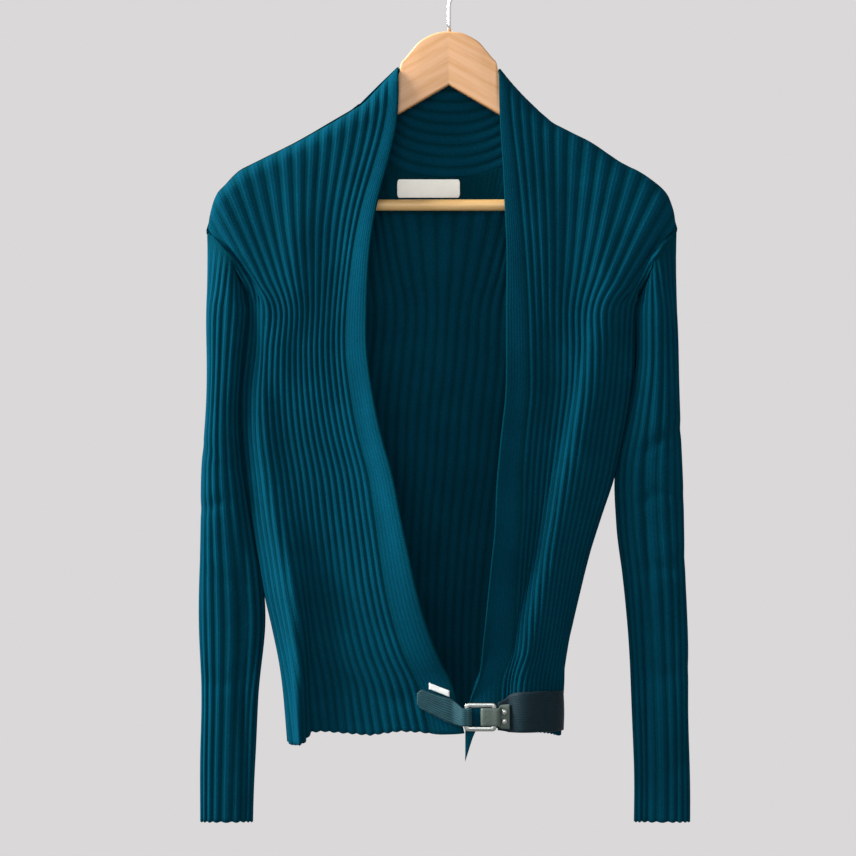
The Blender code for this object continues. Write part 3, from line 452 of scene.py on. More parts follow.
def front_grid(side, ribs):
    """Plain inner face of a front and the wall's direction. The upper rows run from the shoulder
    and armhole seams to the level row at drop 345 by squares of even shares, and the lower rows
    are level sections at the listed drops, stretched to the hem."""
    s = sign(side)
    line = ridge(side)
    share = np.linspace(0, 1, 2 * ribs + 1)
    tip = 1 - FRONT_ARMHOLE_RIBS / ribs
    on_ridge = share <= tip + 1e-9
    spaced = np.minimum(share / tip, 1) ** RIDGE_SPREAD
    distance = RIDGE_BAND + (lengths(line)[-1] - RIDGE_BAND) * spaced
    top = along(line, np.concatenate([RIDGE_BAND * np.arange(BAND_STEPS) / BAND_STEPS, distance]))
    top = np.column_stack([top, np.full(len(top), -SEAM / 2)])
    low, body_way = armhole_corners(side, False)[1:3]
    sewn = np.concatenate([np.zeros(BAND_STEPS, bool), ~on_ridge])
    top[sewn] = low[1:]
    level = front_section(side, UPPER_END, ribs)
    across = np.linspace(0, 1, len(top))
    tip_at = BAND_STEPS / len(top) + tip * (1 - BAND_STEPS / len(top))
    lift = np.where(sewn, 0, FRONT_PADDING * step_up((tip_at - across) / 0.12))
    edge_top = float(smooth(OPENING[side], top[0, 1]))
    rows = []
    for t in (np.arange(UPPER_STEPS) / UPPER_STEPS) ** 2:
        drop = top[:, 1] + t * (UPPER_END - top[:, 1])
        straight = (drop - top[0, 1]) / (UPPER_END - top[0, 1])
        bend = smooth(OPENING[side], drop) - (edge_top + straight * (level[0, 0] - edge_top))
        x = top[:, 0] + t * (level[:, 0] - top[:, 0]) + (1 - across) ** 2 * bend
        x = inside_armhole(side, x, drop, low)
        rows.append(upper_row(top, level, lift, x, drop, t))
    lower = lower_rows(lambda at: front_section(side, at, ribs), FRONT_DROPS, HEM[side])
    for row in lower:
        shift = smooth(OPENING[side], row[:2, 1]) - row[0, 0]
        row[:2, 0] += np.where(row[:2, 1] > HEM_LEVEL + 1, shift, 0) * np.array([1.0, 0.6])
    rows += lower
    grid = to_world(np.array(rows))
    normal = facing(grid, False, -s)
    close = grid[..., 1] > -6
    normal[close, 1] = np.minimum(normal[close, 1], 0)
    normal[0, ~sewn, 1] = 0
    normal[:, -1, 1] = 0
    normal = unit(normal)
    normal[0, sewn] = body_way[1:]
    normal[0, BAND_STEPS + int(round(2 * ribs * tip))] = (s, 0, 0)
    ease_seam(normal, sewn)
    return grid, normal


def finer(grid, at, axis=0, wrap=False):
    """Cubic through the rows of a grid, read at fractional row numbers: Hermite, with half the
    step between a row's two neighbours as its slope. Axis 1 does the same with the columns."""
    rows = np.moveaxis(np.asarray(grid, float), axis, 0)
    count = len(rows)
    if wrap:
        slope = (np.roll(rows, -1, axis=0) - np.roll(rows, 1, axis=0)) / 2
        cell = np.floor(at).astype(int)
        one, two = cell % count, (cell + 1) % count
    else:
        slope = np.gradient(rows, axis=0)
        cell = np.clip(np.floor(at).astype(int), 0, count - 2)
        one, two = cell, cell + 1
    t = (at - cell).reshape(-1, *[1] * (rows.ndim - 1))
    read = (rows[one] * (1 + 2 * t) * (1 - t) ** 2 + slope[one] * t * (1 - t) ** 2
            + rows[two] * t * t * (3 - 2 * t) - slope[two] * t * t * (1 - t))
    return np.moveaxis(read, 0, axis)


def quads(grid):
    """Corners of each cell of a grid, in turn round the cell."""
    cells = np.stack([grid[:-1, :-1], grid[:-1, 1:], grid[1:, 1:], grid[1:, :-1]], 2)
    return cells.reshape(-1, *cells.shape[2:])


def put_mesh(name, points, faces, material, knit=None, crest=None):
    """Mesh of quads in metres, turned so that its volume is positive, with the knit's own
    coordinates (ribs across, millimetres down) at each corner and the rib's height at each point."""
    points = points * MM
    a, b, c, d = (points[faces[:, i]] for i in range(4))
    volume = np.einsum("ij,ij->", a, np.cross(b, c)) + np.einsum("ij,ij->", a, np.cross(c, d))
    if volume < 0:
        faces = faces[:, ::-1]
        knit = None if knit is None else knit[:, ::-1]
    mesh = bpy.data.meshes.new(name)
    mesh.from_pydata(points.tolist(), [], faces.tolist())
    mesh.polygons.foreach_set("use_smooth", np.ones(len(faces), bool))
    if knit is not None:
        mesh.uv_layers.new(name="knit").data.foreach_set("uv", knit.astype(np.float32).ravel())
    if crest is not None:
        level = mesh.attributes.new("crest", "FLOAT", "POINT")
        level.data.foreach_set("value", crest.astype(np.float32))
    mesh.materials.append(material)
    piece = bpy.data.objects.new(name, mesh)
    bpy.context.scene.collection.objects.link(piece)
    return piece


def shell(name, outer, inner, material, knit, crest, back_crest, rounding, wrap=False):
    """Closed cloth between two grids of points. Its open edges are rounded: the middle of the rim
    stands out past the edge by `rounding`, for the top, last column, bottom and first column."""
    rows, columns = outer.shape[:2]
    face = np.arange(rows * columns).reshape(rows, columns)
    out = np.zeros_like(outer)
    out[0] += rounding[0] * unit(outer[0] - outer[1])
    out[-1] += rounding[2] * unit(outer[-1] - outer[-2])
    if wrap:
        rings = [np.append(face[0], face[0, 0]), np.append(face[-1], face[-1, 0])[::-1]]
        shown = np.concatenate([face, face[:, :1]], axis=1)
    else:
        out[:, -1] += rounding[1] * unit(outer[:, -1] - outer[:, -2])
        out[:, 0] += rounding[3] * unit(outer[:, 0] - outer[:, 1])
        ring = np.concatenate([face[0], face[1:, -1], face[-1, -2::-1], face[-2::-1, 0]])
        rings = [ring]
        shown = face
    middle_points = ((outer + inner) / 2 + out).reshape(-1, 3)
    corners = knit[:, :columns].reshape(-1, 2)
    points = [outer.reshape(-1, 3), inner.reshape(-1, 3)]
    faces = [quads(shown), quads(shown + face.size)[:, ::-1]]
    coordinates = [quads(knit), quads(knit)[:, ::-1]]
    level = [crest.ravel(), back_crest.ravel()]
    start = 2 * face.size
    for ring in rings:
        edge = start + np.append(np.arange(len(ring) - 1), 0)
        points.append(middle_points[ring[:-1]])
        level.append(crest.ravel()[ring[:-1]])
        start += len(ring) - 1
        faces.append(quads(np.stack([ring + face.size, edge, ring])))
        coordinates.append(quads(np.stack([corners[ring]] * 3)))
    return put_mesh(name, np.concatenate(points), np.concatenate(faces), material,
                    np.concatenate(coordinates), np.concatenate(level))


def crease(points, line, width, depth):
    """How deep each point sinks into a soft trough along a line of x and drop: the depth times a
    bell of the distance over the width, fading at both ends. A negative depth raises a ridge."""
    flat = np.stack([points[..., 0], -points[..., 2]], -1)
    steps = spline(line, 16)
    nearest = np.full(flat.shape[:2], 1e9)
    share = np.zeros(flat.shape[:2])
    for k, (a, b) in enumerate(zip(steps[:-1], steps[1:])):
        t = np.clip((flat - a) @ (b - a) / max((b - a) @ (b - a), 1e-9), 0, 1)
        away = np.linalg.norm(flat - a - t[..., None] * (b - a), axis=-1)
        share = np.where(away < nearest, (k + t) / (len(steps) - 1), share)
        nearest = np.minimum(nearest, away)
    return depth * np.sin(np.pi * np.clip(share, 0.02, 0.98)) ** 0.7 * np.exp(-(nearest / width) ** 2)


def step_up(x):
    """Smooth step from 0 at 0 to 1 at 1."""
    x = np.clip(x, 0, 1)
    return x * x * (3 - 2 * x)


def rib_wave(turns):
    """Height of a rib from 0 in its valley to 1 on its crest, at counts of ribs: a raised cosine
    to the power 0.62, so that the crest is broad and the valley narrow."""
    return (0.5 - 0.5 * np.cos(2 * np.pi * turns)) ** 0.62


def sway(turns, down, amount, seed):
    """Small sideways wander of the ribs, two slow sines of the rib's number and the way down."""
    slow = np.sin(turns * 0.9 + down / 41 + seed)
    return amount * (slow + 0.6 * np.sin(turns * 2.3 - down / 17 + 2 * seed))


# Rib knit of a cotton and acrylic yarn, in teal: dull, with a soft bloom of loose fibre on the
# lit crests. Besides the ribs' own shade, the colour is painted darker in the valleys and lighter
# on the crests by each point's rib height: painted shade and a painted highlight. Such a knit's
# stitches are usually finer than the 2.4 mm rows drawn here, and the photo is too coarse to show
# them.
STITCH_ROW = 2.4              # millimetres a row of stitches
WALES = 4                     # columns of stitches in a rib
STITCH_SLANT = 1.3            # rows that a leg of a stitch climbs over a whole wale
FULL_TURN = 6.2832

rib_knit, tree, shader = finish_of(
    "teal_rib_knit", "#012F3A", Roughness=0.9, Sheen_Weight=0.05, Sheen_Roughness=0.5,
    Sheen_Tint=linear("#0686AC"), Specular_IOR_Level=0.01)
knit_map = add(tree, "ShaderNodeUVMap", {"uv_map": "knit"}).outputs["UV"]
split = add(tree, "ShaderNodeSeparateXYZ", Vector=knit_map)
level = add(tree, "ShaderNodeAttribute", {"attribute_name": "crest"}).outputs["Fac"]
part_of_wale = maths(tree, "FRACT", maths(tree, "MULTIPLY", split.outputs["X"], float(WALES)))
leg = maths(tree, "ABSOLUTE", maths(tree, "SUBTRACT", part_of_wale, 0.5))
row = maths(tree, "DIVIDE", split.outputs["Y"], STITCH_ROW)
slanted = maths(tree, "MULTIPLY_ADD", leg, STITCH_SLANT, row)
stitch = maths(tree, "SINE", maths(tree, "MULTIPLY", slanted, FULL_TURN))
relief = maths(tree, "MULTIPLY_ADD", stitch, 0.35, maths(tree, "MULTIPLY", leg, -2.2))
place = place_of(tree)
fuzzy = maths(tree, "MULTIPLY_ADD", noise(tree, place, 1400.0, 2.0), 0.7, relief)
bumped(tree, shader, fuzzy, 0.35, 0.0007)
patches = spread(tree, noise(tree, place, 28.0, 3.0), 0.3, 0.7, 0.9, 1.1)
flecks = spread(tree, noise(tree, place, 620.0, 1.0), 0.3, 0.7, 0.88, 1.12)
# Painted shade and highlight: the colour runs from a dark valley tone to a lighter crest tone by the rib
# height
shade = add(tree, "ShaderNodeHueSaturation", Color=toned(tree, level, "#002731", "#012F3F", (0.0, 0.75)),
            Value=maths(tree, "MULTIPLY", patches, flecks))
coloured(tree, shader, shade.outputs["Color"])


def placed(piece, node):
    """Let a piece ride the one body and stand in for its solid, which is hidden."""
    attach(piece, "root")
    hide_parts(node)
    return piece


def rib_shell(node, base, normal, turns, down, crest, back_crest, back_rib, rounding, wrap=False):
    """Knit cloth on a grid of points: the outer face stands 1.25 mm out in the valleys and
    WALL + RIB on the crests, and the inner face has ribs of its own, back_rib high, between the
    outer ones. Within 9 mm of the last row, the hem, the points wave up and down with the ribs."""
    outer = base + normal * (WALL - 0.35 + (RIB + 0.35) * crest)[..., None]
    inner = base - normal * (back_rib * back_crest)[..., None]
    drop = step_up(1 - (down[-1:] - down) / 9) * 1.2 * (crest - 0.5)
    outer[..., 2] -= drop
    inner[..., 2] -= drop
    across = np.broadcast_to(turns, down.shape)
    knit = np.stack([across, down], -1)
    if wrap:
        last = np.stack([across[:, :1] + SLEEVE_RIBS, down[:, :1]], -1)
        knit = np.concatenate([knit, last], axis=1)
    piece = shell(node + "_knit", outer, inner, rib_knit, knit, crest, back_crest, rounding, wrap)
    return placed(piece, node)


def run_down(base):
    """Distance down each column of a grid: the running sum of its steps."""
    steps = np.linalg.norm(np.diff(base, axis=0), axis=2)
    return np.concatenate([np.zeros((1, base.shape[1])), np.cumsum(steps, axis=0)])


def read_finely(grid, normal, rows, columns, wrap=False):
    """A panel's plain points and directions at fractional rows and columns."""
    return (finer(finer(grid, rows), columns, 1, wrap),
            unit(finer(finer(normal, rows), columns, 1, wrap)))


def knit_front(node, side, ribs, creases, seed):
    """A front: its plain face read finely, sunk along its creases, with a padded turned band and
    then the ribs, which start low at the shoulder seam."""
    grid, normal = front_grid(side, ribs)
    columns = np.concatenate([(0, 0.06, 0.15, 0.3, 0.5, 0.75), np.arange(1, BAND_STEPS, 0.25),
                              BAND_STEPS + np.arange(8 * ribs + 1) / 4])
    rows = np.concatenate([np.linspace(0, UPPER_STEPS, 75, endpoint=False),
                           np.linspace(UPPER_STEPS, len(grid) - 1, 116)])
    base, way = read_finely(grid, normal, rows, columns)
    down = run_down(base)
    turns = (columns - BAND_STEPS) / 2
    fade = step_up(rows / 1.5)[:, None]
    sink = sum(crease(base, *each) for each in creases)
    sink = sink + 0.5 * np.sin(down / 33 + 3 * np.sin(turns / 4 + seed)) * fade
    base = base - way * (sink * fade)[..., None]
    wandered = turns + sway(turns, down, 0.03, seed)
    on_band = turns <= 0
    across_band = np.clip(columns / BAND_STEPS, 0, 1)
    crest = np.where(on_band, 0, rib_wave(wandered)) * fade
    # The band's middle stands out as padding, and through the colour ramp it is also painted in the light
    # crest tone, a painted highlight
    crest = crest + np.where(on_band, 0.75 * np.sin(np.pi * across_band) ** 0.5, 0) * fade
    back_crest = np.where(on_band, 0, rib_wave(wandered + 0.5)) * fade
    piece = rib_shell(node, base, way, turns, down, crest, back_crest, 0.75, FRONT_RIMS)
    return piece, grid


# Creases: line of x and drop, width, depth
RIGHT_CREASES = (
    (((-215, 300), (-196, 345), (-170, 420), (-150, 520)), 13, 3.0),
    (((-120, 190), (-112, 260), (-104, 360), (-96, 450)), 16, 2.2),
    (((-150, 215), (-146, 300), (-140, 380)), 12, -1.8),
    (((-40, 700), (-70, 665), (-105, 610), (-120, 560)), 11, 2.4),
    (((-20, 716), (-50, 716), (-90, 700), (-118, 672)), 8, 1.9),
    (((-82, 330), (-84, 420), (-68, 520), (-44, 610)), 9, 1.6),
)
LEFT_CREASES = (
    (((200, 300), (180, 352), (158, 420), (132, 500)), 11, 3.0),
    (((120, 190), (112, 260), (108, 350), (96, 440), (80, 520)), 14, 2.4),
    (((150, 215), (146, 300), (134, 390)), 12, -1.8),
    (((50, 700), (62, 668), (74, 620), (82, 560)), 8, -1.8),
    (((98, 730), (88, 690), (92, 640)), 7, 2.2),
    (((60, 330), (62, 420), (56, 500), (46, 590)), 9, 1.6),
)
right_front, right_grid = knit_front("right_front", "right", RIGHT_FRONT_RIBS, RIGHT_CREASES, 0.4)
left_front, left_grid = knit_front("left_front", "left", LEFT_FRONT_RIBS, LEFT_CREASES, 2.1)

# The back, one panel of the same rib knit, sewn to the fronts at the shoulders and sides and to
# the collar at the neck. Its inside shows through the opening, with wide ribs that draw closer
# toward the hem, and it hangs in loose waves behind.
BACK_DROPS = (345, 395, 445, 495, 545, 595, 645, 695)
# Drop, depth of the middle, depth of its waves
BACK = ((345, 20, 1), (400, 24, 2), (460, 28, 3), (520, 33, 4), (575, 38, 5), (620, 41, 5.5),
        (670, 44, 6), (716, 46, 6), (790, 46, 6))
# Neck seam from the right shoulder to the left one: x, drop
NECK = ((-84.5, 146.5), (-81, 168), (-72, 189), (-58, 204), (-40, 213), (-18, 217.5), (0, 218.7),
        (18, 217.8), (40, 213.5), (59, 205), (73, 192), (81, 172), (84.5, 152.5))


def neck_seam(shares):
    """Points of the neck seam, on the straight steps that the back and the collar share."""
    line = spline(NECK)
    corners = np.linspace(0, 1, BACK_NECK_RIBS + 1)
    return between_rows(shares, corners, along(line, lengths(line)[-1] * corners))


def back_section(drop):
    """Columns of the back at one drop: equal steps along a smooth line that swings in and out by
    the wave's depth at six places between the side seams."""
    right = float(smooth(SIDE["right"], drop)) + SIDE_INSET
    left = float(smooth(SIDE["left"], drop)) - SIDE_INSET
    depth = float(smooth(BACK, drop, 1))
    wave = float(smooth(BACK, drop, 2))
    between = []
    for i, share in enumerate((0.14, 0.28, 0.42, 0.57, 0.71, 0.86)):
        side_fall = 0.12 * depth if i in (0, 5) else 0
        between.append((right + share * (left - right), depth - side_fall + wave * (1 if i % 2 else -1)))
    line = spline([(right, SEAM / 2)]
                  + [(right + step, share * depth) for step, share in reversed(SIDE_TURN)] + between
                  + [(left - step, share * depth) for step, share in SIDE_TURN]
                  + [(left, SEAM / 2)], 260)
    return along(line, np.linspace(0, lengths(line)[-1], 2 * BACK_RIBS + 1))


def back_grid():
    """Plain inner face of the back and the wall's direction, in the fronts' manner: from the
    armholes, shoulders and neck seam down to the listed drops."""
    arm = 2 * BACK_ARMHOLE_RIBS
    neck = 2 * BACK_NECK_RIBS
    shoulder = BACK_RIBS - 2 * BACK_ARMHOLE_RIBS - BACK_NECK_RIBS
    parts = []
    lows = []
    for side in ("right", "left"):
        line = spline(ridge(side))
        line = line[np.argmin(np.abs(line[:, 0] - sign(side) * (NECK_HALF + 0.2))):]
        seam = along(line, lengths(line)[-1] * np.linspace(1, 0, shoulder + 1))
        seam = np.column_stack([seam, np.full(len(seam), SEAM / 2)])
        low = armhole_corners(side, True)[1]
        parts.append(np.concatenate([low[:0:-1], seam]))
        lows.append(low)
    share = np.linspace(0, 1, neck + 1)[1:-1]
    centre = neck_seam(share) + np.array([0, NECK_GAP])
    centre[:, 0] *= 1 + 0.012 * (2 * share - 1) ** 2
    near = NECK_RUN * np.minimum(share, 1 - share)
    padding = NECK_PADDING * (1 - np.exp(-near / SHOULDER_ROUND))
    centre = np.column_stack([centre, SEAM / 2 + padding])
    top = np.concatenate([parts[0], centre, parts[1][::-1]])
    kind = np.zeros(len(top), int)
    kind[:arm] = 1
    kind[-arm:] = 1
    kind[arm + shoulder + 1:arm + shoulder + neck] = 2
    level = back_section(UPPER_END)
    across = np.abs(np.linspace(-1, 1, len(top)))
    lift = np.where(kind == 0, BACK_PADDING * step_up((1 - 2 * arm / len(top) - across) / 0.1), 0)
    rows = []
    for t in (np.arange(UPPER_STEPS) / UPPER_STEPS) ** 2:
        drop = top[:, 1] + t * (UPPER_END - top[:, 1])
        x = top[:, 0] + t * (level[:, 0] - top[:, 0])
        x = inside_armhole("left", x, drop, lows[1])
        x = inside_armhole("right", x[::-1], drop[::-1], lows[0])[::-1]
        rows.append(upper_row(top, level, lift, x, drop, t))
    rows += lower_rows(back_section, BACK_DROPS, HEM["back"])
    grid = to_world(np.array(rows))
    normal = facing(grid, False, 1)
    close = grid[..., 1] < 6
    normal[close, 1] = np.maximum(normal[close, 1], 0)
    normal[0, kind == 0, 1] = 0
    normal[:, 0, 1] = 0
    normal[:, -1, 1] = 0
    normal = unit(normal)
    normal[0, :arm] = armhole_corners("right", True)[2][:0:-1]
    normal[0, -arm:] = armhole_corners("left", True)[2][1:]
    normal[0, arm] = (-1, 0, 0)
    normal[0, -arm - 1] = (1, 0, 0)
    ease_seam(normal, kind == 1)
    return grid, normal


# Creases of the back: the fullness under the shoulder blades and over the waist
BACK_CREASES = (
    (((-200, 300), (-165, 380), (-120, 470)), 16, 3.2),
    (((190, 300), (155, 385), (105, 480)), 16, 3.2),
    (((-60, 260), (-50, 360), (-58, 470), (-70, 560)), 13, -2.2),
    (((62, 250), (70, 350), (58, 450), (40, 540)), 13, -2.4),
    (((-120, 700), (-70, 668), (-10, 660), (50, 676)), 12, 1.8),
    (((-20, 300), (-8, 420), (-16, 540)), 15, 1.8),
)
back_points, back_way = back_grid()
back_columns = np.arange(6 * BACK_RIBS + 1) / 3
back_rows = np.concatenate([np.linspace(0, UPPER_STEPS, 75, endpoint=False),
                            np.linspace(UPPER_STEPS, len(back_points) - 1, 105)])
base, way = read_finely(back_points, back_way, back_rows, back_columns)
down = run_down(base)
turns = back_columns / 2
fade = step_up(back_rows / 1.5)[:, None]
sink = sum(crease(base, *each) for each in BACK_CREASES)
sink = sink + 0.6 * np.sin(down / 37 + 2 * np.sin(turns / 5))
low_enough = step_up((back_rows - 4) / 3)[:, None]
base = base - way * (sink * low_enough)[..., None]
wandered = turns + sway(turns, down, 0.03, 1.2)
# The inside is plain round the label: about 62 mm to each side of x = -5, down to drop 250
under_neck = np.exp(-((base[..., 0] + 5) / 62) ** 6)
plain_zone = 1 - under_neck * step_up((258 + base[..., 2]) / 14)
back_crest = rib_wave(wandered + 0.5) * fade * plain_zone
back = rib_shell("back", base, way, turns, down, rib_wave(wandered) * fade, back_crest, 1.5, BACK_RIMS)

# The sleeves, rib-knit tubes with the ribs running down them, sewn into the armholes. They hang
# nearly flat with one long crease down the front, soft wrinkles at the elbow and an open cuff.
# Rings of a sleeve: drop, outer edge, inner edge, half the depth, how far the front sinks. Down to
# drop 600 the inner edges lie up to 5.6 mm nearer the body than the solids', so that less of the
# background shows between a sleeve and the body.
SLEEVE = {
    "right": ((350, -231.5, -190.2, 19, 0), (400, -231.5, -196.2, 21, 0),
              (450, -232.8, -199, 21, 0), (500, -236, -193.6, 20, 1), (550, -237.5, -185.8, 18, 2),
              (600, -238.5, -178, 15, 3), (650, -238.5, -175, 12.5, 3.5),
              (715, -237, -181.6, 10.5, 3.5), (775, -237.5, -184.5, 9, 3), (833, -238, -186, 7.5, 2.5)),
    "left": ((350, 218.5, 178.6, 19, 0), (400, 219.5, 177.4, 21, 0),
             (450, 221.5, 169, 21, 1), (500, 223, 158, 20, 2), (550, 224.5, 159.5, 18, 3),
             (600, 226.5, 166, 15, 3.5), (650, 228, 170, 12.5, 3.5),
             (715, 229, 174, 10.5, 3.5), (775, 230, 176, 9, 3), (833, 230.5, 176, 7.5, 2.5)),
}
SLEEVE_CREASE = {"right": -196.0, "left": 188.0}


def sleeve_ring(side, row):
    """One level ring of a sleeve, a flattened oval: x goes by the cosine to the power 0.85 and
    depth by the sine to the power 0.75, and the front sinks along the crease."""
    drop, outer, inner, half, sunk = row
    s = sign(side)
    outer = outer - s * (WALL + RIB)
    inner = inner + s * (WALL + RIB)
    half = half - WALL - RIB
    turn = full_circle(2 * SLEEVE_RIBS)
    sin = np.sin(turn)
    x = (outer + inner) / 2 + (outer - inner) / 2 * squarer(np.cos(turn), 0.85)
    depth = -half * squarer(sin, 0.75)
    dent = sunk * np.exp(-((x - SLEEVE_CREASE[side]) / 5.5) ** 2)
    return np.column_stack([x, np.full(len(x), float(drop)), depth + np.where(sin > 0.05, dent, 0)])


def sleeve_grid(side):
    """Plain inner face of a sleeve and the wall's direction: the armhole's ring moved off the
    seam, three rings between it and the first level one, then the level rings."""
    s = sign(side)
    half = SLEEVE_RIBS
    fraction = np.concatenate([np.linspace(0, 1, half + 1), np.linspace(1, 0, half + 1)[1:-1]])
    behind = (np.arange(2 * half) > half)[:, None]
    front_seam = armhole_corners(side, False)
    back_seam = armhole_corners(side, True)
    ring, body_way, sleeve_way = (
        np.where(behind, between_rows(fraction, back_seam[0], back_seam[i]),
                 between_rows(fraction, front_seam[0], front_seam[i])) for i in (1, 2, 3))
    line = spline(ARMHOLE[side])
    here = lengths(line)[-1] * fraction
    step = along(line, here + 2) - along(line, here - 2)
    away = unit(np.column_stack([s * step[:, 1], -s * step[:, 0], np.zeros(len(step))]))
    ring = ring + (SEAM - 0.2 * np.sin(np.pi * np.minimum(2 * fraction, 1)))[:, None] * away
    ring[:, 0] += s * WALL * np.abs(body_way[:, 0] - sleeve_way[:, 0])
    first = sleeve_ring(side, SLEEVE[side][0])
    rows = [ring]
    for t in (0.12, 0.34, 0.64):
        toward_body = np.array([-s, 0, 0]) * fraction[:, None] ** 2 * (1 - t)
        rows.append(ring + t * (first - ring) + toward_body)
    rows += [sleeve_ring(side, row) for row in SLEEVE[side]]
    grid = to_world(np.array(rows))
    normal = facing(grid, True, s)
    normal[0] = sleeve_way
    normal[1] = unit(0.7 * sleeve_way + 0.3 * normal[1])
    return grid, normal


def knit_sleeve(node, side, creases, seed):
    """A sleeve: its plain face read finely all round, sunk along its creases, with ribs."""
    grid, normal = sleeve_grid(side)
    columns = np.arange(8 * SLEEVE_RIBS) / 4
    rows = np.concatenate([np.linspace(0, 4, 28, endpoint=False),
                           np.linspace(4, len(grid) - 1, 130)])
    base, way = read_finely(grid, normal, rows, columns, True)
    down = run_down(base)
    turns = columns / 2
    fade = step_up(rows / 2.5)[:, None]
    front_face = step_up((0.3 - way[..., 1]) / 0.6)
    sink = sum(crease(base, *each) for each in creases) * (0.35 + 0.65 * front_face)
    sink = sink + 0.45 * np.sin(down / 23 + 2 * np.sin(turns / 3 + seed))
    base = base - way * (sink * fade)[..., None]
    whole_sway = 0.035 * np.sin(down / 47 + seed + np.sin(2 * np.pi * turns / SLEEVE_RIBS))
    crest = rib_wave(turns + whole_sway) * fade
    back_crest = rib_wave(turns + whole_sway + 0.5) * fade
    piece = rib_shell(node, base, way, turns, down, crest, back_crest, 0.6, SLEEVE_RIMS, True)


RIGHT_SLEEVE_CREASES = (
    (((-232, 470), (-214, 492), (-196, 500)), 6, 2.0),
    (((-236, 540), (-216, 528), (-200, 538)), 6, 1.8),
    (((-230, 585), (-212, 602), (-190, 606)), 7, 1.6),
    (((-222, 300), (-216, 380), (-218, 450)), 8, 1.8),
    (((-234, 690), (-216, 700), (-194, 694)), 8, 1.2),
)
LEFT_SLEEVE_CREASES = (
    (((222, 455), (200, 470), (178, 484)), 6, 2.0),
    (((222, 525), (202, 520), (172, 534)), 6, 1.8),
    (((224, 575), (204, 592), (172, 590)), 7, 1.6),
    (((214, 300), (206, 380), (204, 450)), 8, 1.8),
    (((228, 682), (206, 692), (180, 686)), 8, 1.2),
)
knit_sleeve("right_sleeve", "right", RIGHT_SLEEVE_CREASES, 0.7)
knit_sleeve("left_sleeve", "left", LEFT_SLEEVE_CREASES, 2.9)

# The collar, the back-neck part of the grown-on shawl collar. It continues the fronts' knit
# turned on its side, so its ribs run across the neck, and its free edge dips behind the wood.
NECK_DEPTH = 13.3
COLLAR_DIP = 11.0
COLLAR_LAST = BACK_NECK_RIBS + 4    # number of the last row of the collar's grid
COLLAR_LOWERED = 1.5          # how far the ends sink, so that no dark line shows at the ridges


def collar_grid():
    """Plain face of the collar and the wall's direction. Rows run from the free edge, a sagging
    line between the shoulders, to the neck seam, and their ends are moved onto the two ridges."""
    shares = np.sort(np.concatenate([np.linspace(0, 1, BACK_NECK_RIBS + 1),
                                     (0.012, 0.032, 0.968, 0.988)]))
    low = neck_seam(shares)
    start = np.array(RIDGE["right"][0], float)
    end = np.array(RIDGE["left"][0], float)
    high = start + shares[:, None] * (end - start)
    high[:, 1] += COLLAR_DIP * np.sin(np.pi * shares) ** 0.8
    count = 2 * COLLAR_RIBS + 1
    first = np.array(RIDGE["right"][:3], float)
    right = along(first, np.linspace(0, lengths(first)[-1], count))
    ends_left = spline(RIDGE["left"])
    ends_left = ends_left[ends_left[:, 0] < NECK_HALF]
    left = along(ends_left, np.linspace(0, lengths(ends_left)[-1], count))
    weight = np.exp(-shares / 0.03)[:, None]
    rows = []
    for k, v in enumerate(np.linspace(0, 1, count)):
        line = high + v * (low - high)
        line = line + weight * (right[k] - line[0]) + weight[::-1] * (left[k] - line[-1])
        near = np.minimum(np.linalg.norm(line - line[0], axis=1),
                          np.linalg.norm(line - line[-1], axis=1))
        depth = SEAM / 2 + (NECK_DEPTH - SEAM / 2) * (1 - np.exp(-near / 2.5))
        rows.append(np.column_stack([line, depth]))
    grid = to_world(np.array(rows)).transpose(1, 0, 2)
    normal = facing(grid, False, 1)
    if normal[8, 9, 1] > 0:
        normal = -normal
    normal[[0, -1], :, 1] = 0
    return grid, unit(normal)


collar_points, collar_way = collar_grid()
collar_rows = np.concatenate([np.linspace(0, 3, 16, endpoint=False),
                              np.linspace(3, COLLAR_LAST - 3, 110, endpoint=False),
                              np.linspace(COLLAR_LAST - 3, COLLAR_LAST, 17)])
collar_columns = np.arange(10 * COLLAR_RIBS + 1) / 5
base, way = read_finely(collar_points, collar_way, collar_rows, collar_columns)
across = run_down(base)
turns = collar_columns / 2 + 0.04 * np.sin(across / 31)
from_end = np.minimum(collar_rows, COLLAR_LAST - collar_rows)[:, None]
full = step_up((from_end - 1) / 3)
base = base - way * (0.5 * np.sin(across / 19) * step_up(from_end / 3))[..., None]
base[..., 2] -= COLLAR_LOWERED * (1 - step_up(from_end / 2))
collar = rib_shell("collar", base, way, collar_columns / 2, across, rib_wave(turns) * (0.15 + 0.85 * full),
                   rib_wave(turns + 0.5) * full, 0.6, COLLAR_RIMS)

# The neck label, a blank strip of satin-woven polyester with soft corners, sewn flat to the
# inside of the back just under the neck seam. Its weave gives a fine even shine.
label_cloth, tree, shader = finish_of("woven_label_satin", "#EAE8DE", Roughness=0.55,
                                      Sheen_Weight=0.15, Specular_IOR_Level=0.4)
place = place_of(tree)
warp = waves(tree, place, "X", 340.0, 0.6, 1.0)
weft = waves(tree, place, "Z", 420.0, 0.4, 1.0)
bumped(tree, shader, maths(tree, "ADD", warp, weft), 0.3, 0.0003)
coloured(tree, shader, toned(tree, noise(tree, place, 90.0, 2.0), "#DCDAD0", "#ECEBE4"))
PANEL_FOOT = 739.0            # drop below which a panel's depth stays as it is there


